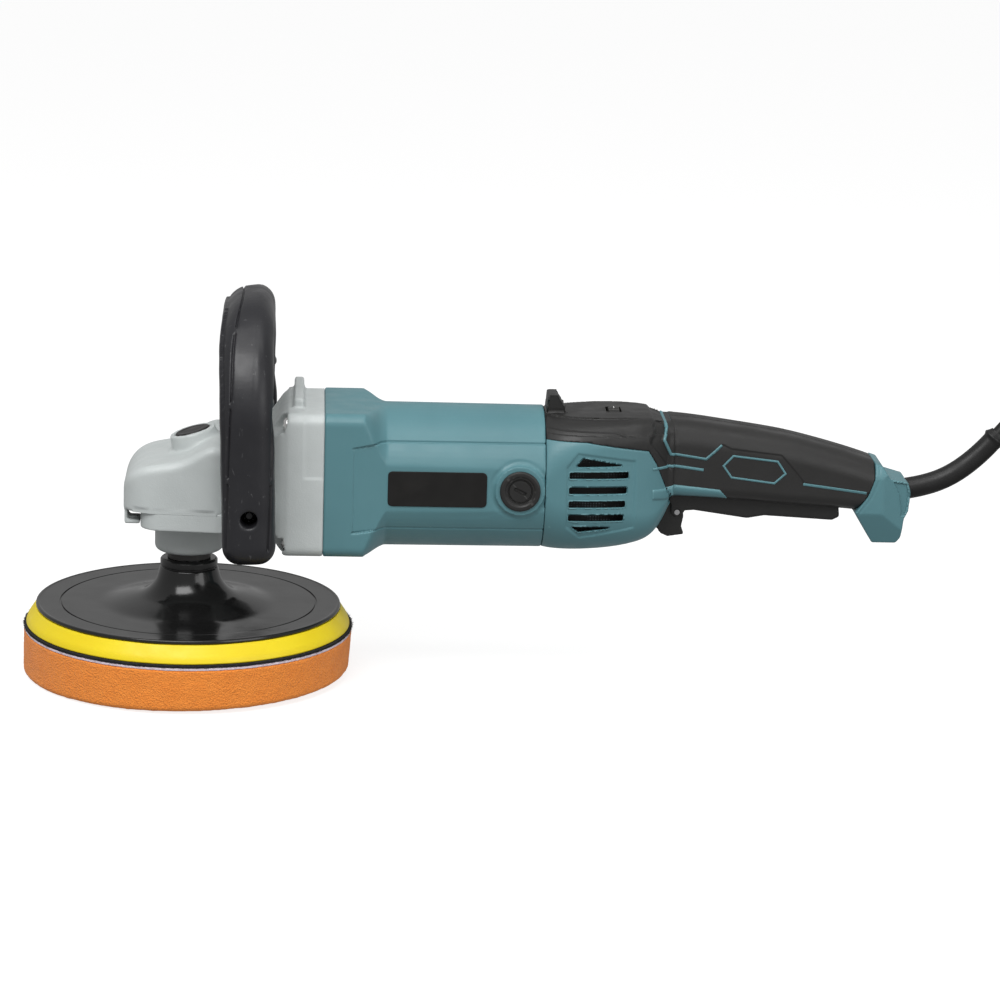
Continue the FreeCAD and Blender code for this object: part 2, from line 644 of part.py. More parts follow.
def armature():
    axis_at = (0, 0, d.motor_height)
    radius = d.shaft_radius
    node("armature_shaft", spun([
        (0, 17), (1.9, 17), (1.9, 26), (radius - 0.05, 26), (radius - 0.05, 198),
        (0, 198)], axis_at, "X"))
    slope = DRIVING["pinion_teeth"] / DRIVING["gear_teeth"]
    gap = DRIVING["mesh_gap"]
    tip = DRIVING["gear_radius"] + 0.5
    blank = spun([(1.9, 17.5), (17.5 * slope - gap, 17.5), (tip * slope - gap, tip),
                  (tip * slope - gap, 26), (1.9, 26)], axis_at, "X")
    teeth = DRIVING["pinion_teeth"]
    tools = []
    for n in range(teeth):
        slot = Part.makeBox(12, 1.1, 3, V(16.5, -0.55, 2.6))
        slot.rotate(V(17.5, 0, 2.6), V(0, 1, 0), -math.degrees(math.atan(slope)))
        slot.rotate(V(0, 0, 0), V(1, 0, 0), 360 * n / teeth)
        slot.translate(V(0, 0, DRIVING["motor_height"]))
        tools.append(slot)
    node("pinion", cut(blank, copy_shape(None, Part.makeCompound(tools))))
    front, length = d.core_front, d.core_length
    back = front + length
    node("armature_core", tube(d.core_radius, radius - 0.05, length,
                               (front, 0, d.motor_height), "X"))
    ends = [
        spun([(radius - 0.05, front - 9), (14, front - 9, 3), (17.5, front, 3),
              (radius - 0.05, front)], axis_at, "X"),
        spun([(radius - 0.05, back), (17.5, back, 3), (14, back + 9, 3),
              (radius - 0.05, back + 9)], axis_at, "X")]
    node("armature_windings", group(*ends))
    node("commutator", tube(d.commutator_radius, radius - 0.05, d.commutator_length,
                            (d.commutator_front, 0, d.motor_height), "X"))
    fan_disc = spun([(radius - 0.05, d.fan_front), (d.fan_radius, d.fan_front),
                     (d.fan_radius, d.fan_front + 1.6), (8, d.fan_front + 1.6),
                     (8, d.fan_front + d.fan_length), (radius - 0.05, d.fan_front + d.fan_length)],
                    axis_at, "X")
    blades = []
    for n in range(12):
        blade = Part.makeBox(9, 1.4, 20, V(DRIVING["fan_front"] + 1, -0.7, 11))
        blade.rotate(V(0, 0, 22), V(1, 0, 0), 32)
        blade.rotate(V(0, 0, 0), V(1, 0, 0), 30 * n)
        blade.translate(V(0, 0, DRIVING["motor_height"]))
        blades.append(blade)
    node("cooling_fan", fuse(fan_disc, copy_shape(None, Part.makeCompound(blades))))


def stator():
    front, length = d.core_front, d.core_length
    spot = (front, 0, d.motor_height)
    node("stator_core", tube(d.stator_radius, d.core_radius + d.air_gap, length, spot, "X"))
    ends = []
    for at in (front - 9, front + length):
        ring = tube(d.stator_radius - 2, d.core_radius + 3, 9, (at, 0, d.motor_height), "X")
        ends.append(ring)
    node("field_coils", group(*ends))
    holders, brushes, springs, caps = [], [], [], []
    for axis, side in (("-Y", -1), ("Y", 1)):
        outer = rod(8.1, 19, (d.brush_x, 17 * side, d.motor_height), axis)
        holders.append(cut(outer, rod(5.6, 24, (d.brush_x, 16 * side, d.motor_height), axis)))
        low, high = sorted((11.1 * side, 25 * side))
        brushes.append(block((d.brush_x - 4.4, low, d.motor_height - 3.2),
                             (d.brush_x + 4.4, high, d.motor_height + 3.2)))
        springs.append(spring_coil(3.0, 0.4, 8, 5, (d.brush_x, 25.6 * side, d.motor_height),
                                   axis=axis))
        cap = spun([(0, 0), (8.1, 0), (8.1, 2.6), (d.brush_cap_radius, 2.6),
                    (d.brush_cap_radius, 4.2, 0.6), (7.6, 4.2), (7.2, 3.6), (0, 3.6)],
                   (d.brush_x, d.brush_cap_seat * side, d.motor_height), axis)
        lean = FreeCAD.Rotation(V(1, 0, 0), -90 * side) * FreeCAD.Rotation(V(0, 0, 1), 25 * side)
        corner = lean.multVec(V(-6.2, -0.9, 2.2))
        slot = block((0, 0, 0), (12.4, 1.8, 3.8))
        place(slot, (d.brush_x + corner.x, d.brush_cap_seat * side + corner.y,
                     d.motor_height + corner.z), turn=lean)
        caps.append(cut(cap, slot))
    node("brush_holders", group(*holders))
    node("carbon_brushes", group(*brushes))
    node("brush_springs", group(*springs))
    node("brush_caps", group(*caps))
    node("rear_motor_bearing", tube(11, d.shaft_radius, 7, (189, 0, d.motor_height), "X"))
    spider = fuse(rod(35, 3.2, (189, 0, d.motor_height), "X"),
                  rod(14, 7, (189, 0, d.motor_height), "X"))
    quarters = [n * math.pi / 2 for n in range(4)]
    carrier = cut(spider, rod(11, 9, (188.5, 0, d.motor_height), "X"),
                  *[rod(7, 9, (188.5, 24 * math.cos(a), d.motor_height + 24 * math.sin(a)), "X")
                    for a in quarters])
    node("rear_bearing_bracket", carrier)


# ---------------------------------------------------------------- rear housing and grip

REAR = [
    (192.5, 38.0, 75.0, 151.2, 35, 35),
    (210, 37.4, 75.0, 151.2, 28, 20),
    (230, 35.4, 77.0, 151.6, 24, 15),
    (243, 32.4, 80.0, 151.6, 20, 13.5),
    (252, 29.0, 85.2, 150.6, 15, 13),
    (258, 25.2, 94.0, 148.6, 11, 13),
    (262.5, 21.6, 103.4, 148.2, 8, 13),
]
GRIP = [
    (262.6, 21.4, 106.4, 148.1, 7, 13),
    (280, 20.6, 105.6, 146.6, 7, 13),
    (300, 20.2, 104.4, 143.9, 7, 13),
    (324, 19.8, 102.8, 140.2, 7, 12.8),
    (348, 19.4, 101.2, 134.5, 7, 12.4),
    (366, 19.2, 99.8, 129.3, 7, 12),
    (376, 19.2, 98.8, 125.8, 7, 11.6),
]
# Each screw's x and z, and how far its post reaches to either side.
SHELL_SCREWS = [(271, 136, 16.5), (331, 127, 15.5), (361, 118, 15.3)]
# The slanted joint between the grip and the end cap.
CAP_FRONT = [(374.2, 131), (373.8, 118), (370.2, 108), (363.0, 98)]


def grip_zone(extra=0.0):
    """The space ahead of the end cap's slanted front edge."""
    shift = [(x + extra, z) for x, z in CAP_FRONT]
    return slab("XZ_Plane", [(255, 60), (shift[3][0], 60), shift[3], shift[2], shift[1],
                             shift[0], (shift[0][0], 160), (255, 160)], -40, 40)


def vent_slots():
    """The five openings of one side's vent, right through both sides."""
    pieces = []
    for z, front, back in ((121.6, 205, 237.4), (113.2, 205, 236.6),
                           (105.6, 205, 236.0), (97.9, 205, 235.2)):
        pieces.append(slab("XZ_Plane", [
            (front, z - 1.9), (back, z - 1.9), (back, z + 1.9), (front, z + 1.9)], -42, 42))
    pieces.append(slab("XZ_Plane", [(208.2, 126.2), (237.2, 126.6), (212.4, 131.2)], -42, 42))
    pieces.append(slab("XZ_Plane", [(206.4, 93), (210.8, 89.4), (235.0, 92.6)], -42, 42))
    return pieces


def rear_shells():
    wall, skin = DRIVING["shell_wall"], DRIVING["grip_skin"]
    housing = lofted(REAR)
    # The grip's core starts inside the housing, which it grows out of.
    core_stations = [(258,) + GRIP[0][1:]] + GRIP[1:]
    core = common(lofted(inset(core_stations, skin)), grip_zone())
    ends = [(190,) + REAR[0][1:]] + REAR[1:-1] + [(260,) + REAR[-1][1:]]
    cavity = fuse(lofted(inset(ends, wall)),
                  common(lofted(inset(core_stations, skin + wall)), grip_zone()))
    window = block((d.dial_x - 4, -6.9, 145), (d.dial_x + 4, 6.9, 160))
    dial_room = rod(d.dial_radius + 0.4, 8, (d.dial_x - 4, 0, d.dial_height), "X")
    hollow_parts = fuse(cavity, slot_zone(), window, dial_room)
    posts, holes = [], [rod(1.5, 27, (d.trigger_pivot_x, -13.5, d.trigger_pivot_z), "Y")]
    for x, z, reach in SHELL_SCREWS:
        posts.append(rod(4, 2 * reach, (x, -reach, z), "Y"))
        holes.append(rod(1.6, 16, (x, -6, z), "Y"))
        holes.append(rod(3.4, 30, (x, 8, z), "Y"))
    shell = cut(fuse(cut(fuse(housing, core), hollow_parts, *vent_slots()), *posts), *holes)
    cover_shell = common(cut(lofted(REAR), hollow_parts), cover_zone())
    hook = cut(slab("XZ_Plane", [(193.2, 148), (194.4, 160.4, 0.8), (199.6, 160.6, 0.8),
                                 (203.6, 154), (205, 148)], -9, 9),
               lofted(REAR))
    node("top_cover", cut(fuse(cover_shell, hook), rod(11.2, 8, (193, 0, d.motor_height), "X")))
    sides = (("left", -60, 0), ("right", 0, 60))
    for side, low, high in sides:
        half = block((180, low, 60), (400, high, 170))
        node(f"rear_shell_{side}", cut(common(shell, half), cover_zone()))
        sockets = [rod(3.4, 30, (x, 8, z), "Y") for x, z, _ in SHELL_SCREWS]
        sleeve = cut(common(lofted(GRIP), grip_zone()), lofted(inset(core_stations, skin)),
                     slot_zone(), cover_zone(), *sockets)
        node(f"grip_{side}", common(sleeve, block((180, low, 60), (400, high, 170))))


def dust_screens():
    """A screen behind each side's vents, held by its edges inside the shell."""
    room = lofted(inset(REAR, DRIVING["shell_wall"] + 0.05))
    window = [block((197, y, 70), (243, y + 1.2, 134.2)) for y in (-21.2, 20)]
    node("dust_screens", group(*[common(room, plate) for plate in window]))


def slot_zone():
    return block((252.5, -d.slot_half, 70), (357.5, d.slot_half, 112))


def cover_zone():
    """The space over the line where the top cover meets the shells."""
    return slab("XZ_Plane", [(192, 139.8), (214, 139.6), (248, 134.4), (252.6, 127),
                             (256, 119), (261.7, 106), (261.7, 165), (192, 165)], -45, 45)


def end_cap():
    outline = [
        (CAP_FRONT[0][0] + 0.1, 126.2), (378.6, 124.4, 2), (383, 117.6, 2), (393.2, 115.4, 1.5),
        (395, 109, 4), (394, 99, 3), (391.6, 95, 2), (390.4, 84, 2), (388.2, 80.6, 1.5),
        (375, 80.6, 1.5), (368, 92, 2), (CAP_FRONT[3][0] + 0.8, 98.9),
        (CAP_FRONT[2][0] + 0.1, 108), (CAP_FRONT[1][0] + 0.1, 118)]
    body = slab("XZ_Plane", outline, -19, 19)
    plan = slab("XY_Plane", [
        (355, -19.2), (378, -19.2, 12), (396, -12.4, 5), (396, 12.4, 5), (378, 19.2, 12),
        (355, 19.2)], 70, 135)
    section = slab("YZ_Plane", [
        (-10.5, 80, 3), (-19.2, 99, 8), (-19.2, 128, 12), (19.2, 128, 12), (19.2, 99, 8),
        (10.5, 80, 3)], 350, 400)
    bore = rod(d.cord_diameter / 2 + 2.45, 14, (384, 0, 108.9), "X")
    node("end_cap", cut(common(body, plan, section), bore))


def fasteners():
    screws = []
    for x, z, _ in SHELL_SCREWS:
        screws.append(pan_screw(1.6, 14, 3.2, 2, (x, 8, z), "-Y"))
    node("shell_screws", group(*screws))


# ---------------------------------------------------------------- switch and controls

def trigger_set():
    half = DRIVING["trigger_half"]
    outline = [
        (271.4, 96.6, 2), (276, 97.0), (305.5, 92.9, 6), (315, 94.6, 6), (352.6, 92.6, 1.5),
        (356.6, 94.6, 1.5), (355.4, 106, 2), (352.6, 110, 2), (345, 110, 2), (342, 105),
        (262.6, 107.4, 2),
        (260.4, 101.4, 2)]
    paddle = slab("XZ_Plane", outline, -half, half)
    soft = rounded(paddle, 1.6, lambda e: abs(abs(e.BoundBox.YMin) - half) < 0.01
                   and e.BoundBox.YLength < 0.01 and e.BoundBox.ZMax < 100)
    fork = block((255, -d.lever_half - 0.25, 70), (271.6, d.lever_half + 0.25, 104.2))
    pivot = rod(1.55, 40, (d.trigger_pivot_x, -20, d.trigger_pivot_z), "Y")
    lever_pin = rod(1.5, 40, (d.lever_pin_x, -20, d.lever_pin_z), "Y")
    cheeks = slab("XZ_Plane", [
        (263.2, 103), (263.4, 95.4, 2), (266.8, 92.8, 2), (270.4, 95.4, 2), (271.6, 99),
        (272, 103)], -half, half)
    node("trigger", cut(fuse(soft, cheeks), fork, pivot, lever_pin))
    node("trigger_pin", rod(1.5, 27, (d.trigger_pivot_x, -13.5, d.trigger_pivot_z), "Y"))
    node("lever_pin", rod(1.45, half * 2 + 0.4, (d.lever_pin_x, -half - 0.2, d.lever_pin_z), "Y"))
    lever = slab("XZ_Plane", [
        (256.2, 99.0, 1.5), (254.4, 88.6, 1.5), (258.0, 83.6, 1.5), (262.2, 81.8, 1),
        (271.2, 83.2, 0.8), (269.6, 87.6, 1), (270.6, 93.0, 1), (270.2, 98.4, 1.5),
        (262, 101.4, 1.5)], -DRIVING["lever_half"], DRIVING["lever_half"])
    node("lock_off_lever", cut(lever, rod(1.5, 40, (d.lever_pin_x, -20, d.lever_pin_z), "Y")))
    switch_low = 112.6
    switch = block((286, -8.5, switch_low), (318, 8.5, 132))
    node("switch_body", cut(switch, block((291, -3.2, switch_low - 1), (296.4, 3.2, 121))))
    node("switch_plunger", block((291.2, -3, 106.7), (296.2, 3, 116)))
    node("trigger_spring", spring_coil(3.0, 0.45, 7.2, 5, (278, 0, 107.3)))


def speed_control():
    spot_x = d.dial_x - d.dial_width / 2
    wheel = spun([(0, 0), (d.dial_radius, 0, 0.8), (d.dial_radius, d.dial_width, 0.8),
                  (0, d.dial_width)], (spot_x, 0, d.dial_height), "X")
    shaft = rod(3, 7, (d.dial_x + 2, 0, d.dial_height), "X")
    notches = []
    for n in range(24):
        angle = 2 * math.pi * n / 24
        reach = d.dial_radius + 0.35
        notches.append(rod(0.9, 12, (d.dial_x - 6, reach * math.sin(angle),
                                     d.dial_height + reach * math.cos(angle)), "X"))
    node("speed_dial", cut(fuse(wheel, shaft), *notches))
    board = block((236.4, -16, 126), (238, 16, 147))
    pot = rod(7, 5, (238, 0, d.dial_height), "X")
    node("speed_board", cut(fuse(board, pot), rod(3.05, 12, (235, 0, d.dial_height), "X")))


# ---------------------------------------------------------------- cord

# The cord's route from inside the end cap, over its own arch and down to the coil's top.
ROUTE = [
    (388, 0, 108.4), (399, 0, 109.6), (417, 0, 115.6), (433, 0, 128), (447, 0, 144.5),
    (461, 2, 161), (478, 6, 172.5), (498, 12, 175.5), (518, 20, 168), (534, 30, 153),
    (546, 41, 132), (554, 50, 107), (559, 54, 80), (561, 50, 55), (561, 36, 36.5),
    (560, 18, 29.6), (559, 2, 28.2),
]
# From the coil's lowest turn along the floor and up into the plug's tail.
LEAD = [(524, 57.5, 4), (536, 60, 4), (549, 65, 4.6), (562, 72, 8), (575, 78.5, 11.5),
        (588, 84, 13)]


def path_of(points):
    """Straight runs joined by arcs as large as the runs allow; also gives the radii."""
    spots = [V(*p) for p in points]
    edges, radii = [], []
    start = spots[0]
    for before, here, after in zip(spots, spots[1:], spots[2:]):
        back, ahead = (before - here), (after - here)
        run = 0.45 * min(back.Length, ahead.Length)
        back.normalize()
        ahead.normalize()
        half_turn = (math.pi - back.getAngle(ahead)) / 2
        radii.append(run / math.tan(half_turn))
        first, last = here + back * run, here + ahead * run
        middle = (back + ahead).normalize()
        centre = here + middle * (radii[-1] / math.cos(half_turn))
        halfway = centre - middle * radii[-1]
        edges.append(Part.LineSegment(start, first).toShape())
        edges.append(Part.Arc(first, halfway, last).toShape())
        start = last
    edges.append(Part.LineSegment(start, spots[-1]).toShape())
    return Part.Wire(edges), radii


def swept(wire, radius):
    first = wire.Edges[0]
    start = first.valueAt(first.FirstParameter)
    ahead = first.tangentAt(first.FirstParameter)
    ring = Part.Wire([Part.Edge(Part.Circle(start, ahead, radius))])
    return wire.makePipeShell([ring], True, False)


def cord_run(name, points):
    wire, radii = path_of(points)
    radius = DRIVING["cord_diameter"] / 2
    solid = swept(wire, radius)
    expected = math.pi * radius ** 2 * wire.Length
    print(f"{name}: length {wire.Length:.1f} mm, radii {[round(r) for r in radii]},"
          f" volume {solid.Volume / expected:.4f} of section x length")
    return copy_shape(None, solid)


def cord_and_plug():
    node("cord_tube", group(cord_run("main run", ROUTE), cord_run("plug lead", LEAD)))
    sleeve_route = ROUTE[:5]
    wire, _ = path_of(sleeve_route)
    kept = Part.Wire(wire.Edges[:7])
    outer = swept(kept, 5.8)
    inner = swept(kept, DRIVING["cord_diameter"] / 2)
    end = kept.Edges[-1]
    at = end.valueAt(end.LastParameter)
    ahead = end.tangentAt(end.LastParameter)
    bead = Part.makeCylinder(6.7, 3, at - ahead * 3, ahead)
    shape = outer.fuse(bead).cut(inner).removeSplitter()
    node("cord_sleeve", copy_shape(None, shape))
    node("cord_coil", tube(d.coil_outer, d.coil_inner, d.coil_high, (d.coil_x, 0, 0)))
    tail_end = V(*LEAD[-1])
    heading = FreeCAD.Rotation(V(0, 0, 1), 22.5)
    along = heading.multiply(FreeCAD.Rotation(V(0, 1, 0), 90))
    tail = taper(5, 9, 24, tail_end, turn=along)
    body = slab("XY_Plane", [(0, -9, 3), (14, -17.5, 5), (30, -17.5, 2), (30, 17.5, 2),
                             (14, 17.5, 5), (0, 9, 3)], -12.9, 12.9)
    place(body, tail_end + heading.multVec(V(20, 0, 0)), turn=heading)
    pins = []
    for side in (-1, 1):
        spot = tail_end + heading.multVec(V(50, DRIVING["plug_pin_gap"] / 2 * side, 0))
        pins.append(rod(d.plug_pin_radius, d.plug_pin_length, spot, turn=along))
    node("plug", fuse(tail, body))
    node("plug_pins", group(*pins))


# ---------------------------------------------------------------- build and write

def build():
    pad_stack()
    spindle_set()
    crown_gear()
    spindle_lock()
    gear_case()
    gear_case_cover()
    flange_screws()
    loop_handle()
    motor_housing()
    armature()
    stator()
    rear_shells()
    dust_screens()
    end_cap()
    fasteners()
    trigger_set()
    speed_control()
    cord_and_plug()


def write():
    doc.recompute()
    for thing in doc.Objects:
        if "Invalid" in thing.State or "Error" in thing.State:
            raise RuntimeError(f"{thing.Name} ({thing.Label}) failed: {thing.State}")
    for name, piece in NODES.items():
        shape = piece.Shape
        if shape.isNull() or not shape.isValid() or not shape.Solids:
            raise RuntimeError(f"{name} has no valid solid")
    for name, piece in NODES.items():
        piece.Shape.exportStep(f"parts/{name}.step")
        box = piece.Shape.BoundBox
        print(f"{name}: {len(piece.Shape.Solids)} solid, {piece.Shape.Volume / 1000:.2f} cm3,"
              f" X {box.XMin:.1f}..{box.XMax:.1f} Y {box.YMin:.1f}..{box.YMax:.1f}"
              f" Z {box.ZMin:.1f}..{box.ZMax:.1f}")
    print(len(NODES), "nodes")


build()
write()
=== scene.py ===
"""The looks of a rotary polisher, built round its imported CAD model.

The frame is the model's own: the origin is the centre of the pad's working face, +Z runs up
the spindle and +X runs back along the motor. Blender's unit is the metre; where a number is
easier to read in millimetres it is multiplied by MM, and the Clay class works in millimetres.
"""
import itertools
import json
import math
import random

import bmesh
import bpy
import numpy as np
from mathutils import Matrix, Quaternion, Vector
from mathutils.bvhtree import BVHTree

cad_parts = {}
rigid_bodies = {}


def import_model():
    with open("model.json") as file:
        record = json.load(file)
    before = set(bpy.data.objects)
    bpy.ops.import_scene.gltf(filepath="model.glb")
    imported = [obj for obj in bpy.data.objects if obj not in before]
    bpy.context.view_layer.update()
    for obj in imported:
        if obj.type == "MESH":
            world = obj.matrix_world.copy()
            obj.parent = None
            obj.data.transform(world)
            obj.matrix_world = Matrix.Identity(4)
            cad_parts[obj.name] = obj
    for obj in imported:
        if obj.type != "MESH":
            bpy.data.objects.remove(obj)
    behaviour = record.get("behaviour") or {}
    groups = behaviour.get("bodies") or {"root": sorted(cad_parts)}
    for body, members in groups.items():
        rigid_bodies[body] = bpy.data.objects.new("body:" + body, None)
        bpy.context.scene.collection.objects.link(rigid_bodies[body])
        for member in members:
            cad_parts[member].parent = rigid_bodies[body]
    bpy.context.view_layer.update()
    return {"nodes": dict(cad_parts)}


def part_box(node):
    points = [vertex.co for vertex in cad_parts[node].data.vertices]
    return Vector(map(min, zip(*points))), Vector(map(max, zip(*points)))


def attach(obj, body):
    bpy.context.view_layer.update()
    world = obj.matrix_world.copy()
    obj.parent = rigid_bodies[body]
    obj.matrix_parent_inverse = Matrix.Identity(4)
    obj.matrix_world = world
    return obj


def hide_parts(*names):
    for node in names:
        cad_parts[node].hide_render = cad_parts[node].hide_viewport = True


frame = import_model()
NODES = frame["nodes"]
MM = 0.001
LEFT, RIGHT = -1, 1
SIDES = ((LEFT, "left"), (RIGHT, "right"))


def box_mm(node):
    """A CAD node's lowest and highest corners, in millimetres."""
    low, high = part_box(node)
    return np.array(low) / MM, np.array(high) / MM


def middle_mm(node):
    low, high = box_mm(node)
    return (low + high) / 2


MOTOR_Z = middle_mm("armature_shaft")[2]
BRUSH_X = middle_mm("brush_caps")[0]
HANDLE_X = middle_mm("handle_bolts")[0]
HANDLE_BOLT_Z = middle_mm("handle_bolts")[2]
HANDLE_LEAN = math.radians(-1.7)
LOCK_LEAN = math.radians(16)


def put(name, data):
    """A new object in the scene."""
    made = bpy.data.objects.new(name, data)
    bpy.context.scene.collection.objects.link(made)
    return made


def aimed(name, data, at, aim, roll=0.0):
    """A camera or a light that looks at a point."""
    made = put(name, data)
    made.location = at
    made.rotation_mode = "QUATERNION"
    facing = (Vector(aim) - Vector(at)).to_track_quat("-Z", "Y")
    made.rotation_quaternion = facing @ Quaternion((0, 0, 1), roll)
    return made


def fade(tree, value, numbers):
    """Runs a value smoothly between the last two numbers as it goes between the first two."""
    made = tree.nodes.new("ShaderNodeMapRange")
    made.interpolation_type = "SMOOTHSTEP"
    for name, number in zip(("From Min", "From Max", "To Min", "To Max"), numbers):
        made.inputs[name].default_value = number
    tree.links.new(value, made.inputs["Value"])
    return made.outputs["Result"]


# ------------------------------------------------------------------ camera, light and floor

CAMERA_FAR = 2.0
CAMERA_AIM = Vector((0.170, 0, 0.0987))
CAMERA_RAISED = math.radians(13.54)
CAMERA_TURNED = math.radians(3.2)
CAMERA_ROLL = math.radians(1.7)
CAMERA_LENS = 131.04


def stage_camera():
    flat = math.cos(CAMERA_RAISED)
    back = Vector((-math.sin(CAMERA_TURNED) * flat, -math.cos(CAMERA_TURNED) * flat,
                   math.sin(CAMERA_RAISED)))
    camera = aimed("camera", bpy.data.cameras.new("camera"), CAMERA_AIM + back * CAMERA_FAR,
                   CAMERA_AIM, CAMERA_ROLL)
    camera.data.lens = CAMERA_LENS
    camera.data.clip_end = 60
    bpy.context.scene.camera = camera


def softbox(name, at, aim, size, power):
    light = bpy.data.lights.new(name, "AREA")
    light.shape = "RECTANGLE"
    light.size, light.size_y = size
    light.energy = power
    aimed(name, light, at, aim)


# The height of a direction and the sky's strength there: dark below, pale overhead.
SKY_FADE = (-0.60, 0.35, 0.36, 0.44)


def stage_light():
    scene = bpy.context.scene
    scene.view_settings.view_transform = "Standard"
    scene.world = bpy.data.worlds.new("studio")
    scene.world.use_nodes = True
    tree = scene.world.node_tree
    background = tree.nodes["Background"]
    heading = tree.nodes.new("ShaderNodeTexCoord").outputs["Generated"]
    split = tree.nodes.new("ShaderNodeSeparateXYZ")
    tree.links.new(heading, split.inputs["Vector"])
    background.inputs["Color"].default_value = (1, 1, 1, 1)
    tree.links.new(fade(tree, split.outputs["Z"], SKY_FADE), background.inputs["Strength"])
    softbox("key", (-0.35, -1.1, 1.5), (0.15, 0, 0.1), (1.3, 0.9), 23)
    softbox("fill", (1.4, -1.5, 0.7), (0.2, 0, 0.1), (1.2, 1.0), 9)
    softbox("top", (0.2, -0.2, 1.6), (0.2, 0, 0.1), (1.8, 0.35), 6)


def stage_floor():
    far = 30
    mesh = bpy.data.meshes.new("floor")
    mesh.from_pydata([(-far, -far, 0), (far, -far, 0), (far, far, 0), (-far, far, 0)],
                     [], [(0, 1, 2, 3)])
    floor = put("floor", mesh)
    paper = Finish("floor_paper", (0.30, 0.30, 0.30), 0.9, gloss=0.1)
    paper.set("Emission Color", (1, 1, 1, 1))
    paper.set("Emission Strength", 0.82)
    mesh.materials.append(paper.material)
    floor.visible_diffuse = False
    floor.visible_glossy = False


# ------------------------------------------------------------------ materials

class Finish:
    """A procedural material, built up one layer at a time, with sizes in millimetres."""

    def __init__(self, name, color, rough, metal=0.0, gloss=0.5):
        self.material = bpy.data.materials.new(name)
        self.material.use_nodes = True
        self.tree = self.material.node_tree
        self.shader = self.tree.nodes["Principled BSDF"]
        self.set("Metallic", metal)
        self.set("Specular IOR Level", gloss)
        self.set("Roughness", rough)
        self.set("Base Color", (*color, 1))
        self.coords = self.add("ShaderNodeTexCoord").outputs["Object"]
        self.normal = None

    def add(self, kind, **values):
        made = self.tree.nodes.new(kind)
        for key, value in values.items():
            setattr(made, key, value)
        return made

    def set(self, name, value):
        self.shader.inputs[name].default_value = value

    def texture(self, kind, result, size, stretch=(1, 1, 1), inputs=(), **values):
        """A texture node's result, in grains about size across."""
        mapping = self.add("ShaderNodeMapping")
        mapping.inputs["Scale"].default_value = [part / (size * MM) for part in stretch]
        self.tree.links.new(self.coords, mapping.inputs["Vector"])
        made = self.add(kind, **values)
        for name, number in (("Scale", 1.0), *inputs):
            made.inputs[name].default_value = number
        self.tree.links.new(mapping.outputs["Vector"], made.inputs["Vector"])
        return made.outputs[result]

    def noise(self, size, detail=2.0, stretch=(1, 1, 1), distort=0.0):
        """Soft random values from 0 to 1."""
        return self.texture("ShaderNodeTexNoise", "Fac", size, stretch,
                            [("Detail", detail), ("Distortion", distort)])

    def cells(self, size):
        """The distance to the nearest cell's middle."""
        return self.texture("ShaderNodeTexVoronoi", "Distance", size)

    def bands(self, size, direction="X", distort=0.0):
        """Even stripes across one direction, one every two sizes."""
        return self.texture("ShaderNodeTexWave", "Fac", size, inputs=[
            ("Scale", 0.314), ("Distortion", distort)], bands_direction=direction)

    def edges(self):
        """How sharply the surface turns outward at a point."""
        return self.add("ShaderNodeNewGeometry").outputs["Pointiness"]

    def ramp(self, value, low, high, to_low=0.0, to_high=1.0):
        return fade(self.tree, value, (low, high, to_low, to_high))

    def paint(self, factor, color):
        """Mixes another colour over what is there, by a factor."""
        mix = self.add("ShaderNodeMix", data_type="RGBA")
        base = self.shader.inputs["Base Color"]
        if base.is_linked:
            self.tree.links.new(base.links[0].from_socket, mix.inputs["A"])
        else:
            mix.inputs["A"].default_value = base.default_value
        mix.inputs["B"].default_value = (*color, 1)
        self.tree.links.new(factor, mix.inputs["Factor"])
        self.tree.links.new(mix.outputs["Result"], base)

    def stain(self, pattern, low, high, share, color):
        """Paints a share of a colour where a pattern runs from low to high."""
        self.paint(self.ramp(pattern, low, high, 0, share), color)

    def shine(self, size, detail, low, high, stretch=(1, 1, 1)):
        """Roughness that runs from one value to another in patches."""
        factor = self.ramp(self.noise(size, detail, stretch), 0.3, 0.7, low, high)
        self.tree.links.new(factor, self.shader.inputs["Roughness"])

    def bump(self, height, depth):
        made = self.add("ShaderNodeBump")
        made.inputs["Distance"].default_value = depth * MM
        self.tree.links.new(height, made.inputs["Height"])
        if self.normal is not None:
            self.tree.links.new(self.normal, made.inputs["Normal"])
        self.normal = made.outputs["Normal"]
        self.tree.links.new(self.normal, self.shader.inputs["Normal"])

    def grain(self, size, detail, depth, stretch=(1, 1, 1)):
        """Small random bumps, depth deep."""
        self.bump(self.noise(size, detail, stretch), depth)


def moulded(name, color, light, dark, rough, grain=0.35, depth=0.03):
    """Spark-textured plastic: a fine grain, faint flow shades, and sharp edges painted lighter as
    a painted highlight.
    """
    made = Finish(name, color, rough, gloss=0.4)
    made.stain(made.noise(45, 3), 0.35, 0.75, 0.5, dark)
    # Sharp edges painted in the lighter colour: a painted highlight along the edges.
    made.stain(made.edges(), 0.53, 0.66, 0.55, light)
    made.grain(grain, 2, depth)
    made.shine(12, 4, rough - 0.06, rough + 0.08)
    return made


def make_teal():
    return moulded("teal_housing", (0.094, 0.222, 0.250), (0.20, 0.39, 0.42),
                   (0.079, 0.190, 0.216), 0.40)


def make_black_plastic():
    return moulded("black_plastic", (0.016, 0.0157, 0.0153), (0.075, 0.075, 0.073),
                   (0.017, 0.017, 0.0165), 0.45)


def make_handle_rubber():
    made = moulded("handle_rubber", (0.017, 0.017, 0.020), (0.06, 0.06, 0.062),
                   (0.012, 0.012, 0.014), 0.36, grain=0.5)
    made.stain(made.noise(2.2, 5, (1, 1, 0.35), 0.6), 0.66, 0.74, 0.35, (0.16, 0.16, 0.165))
    made.grain(7, 2, 0.12)
    return made


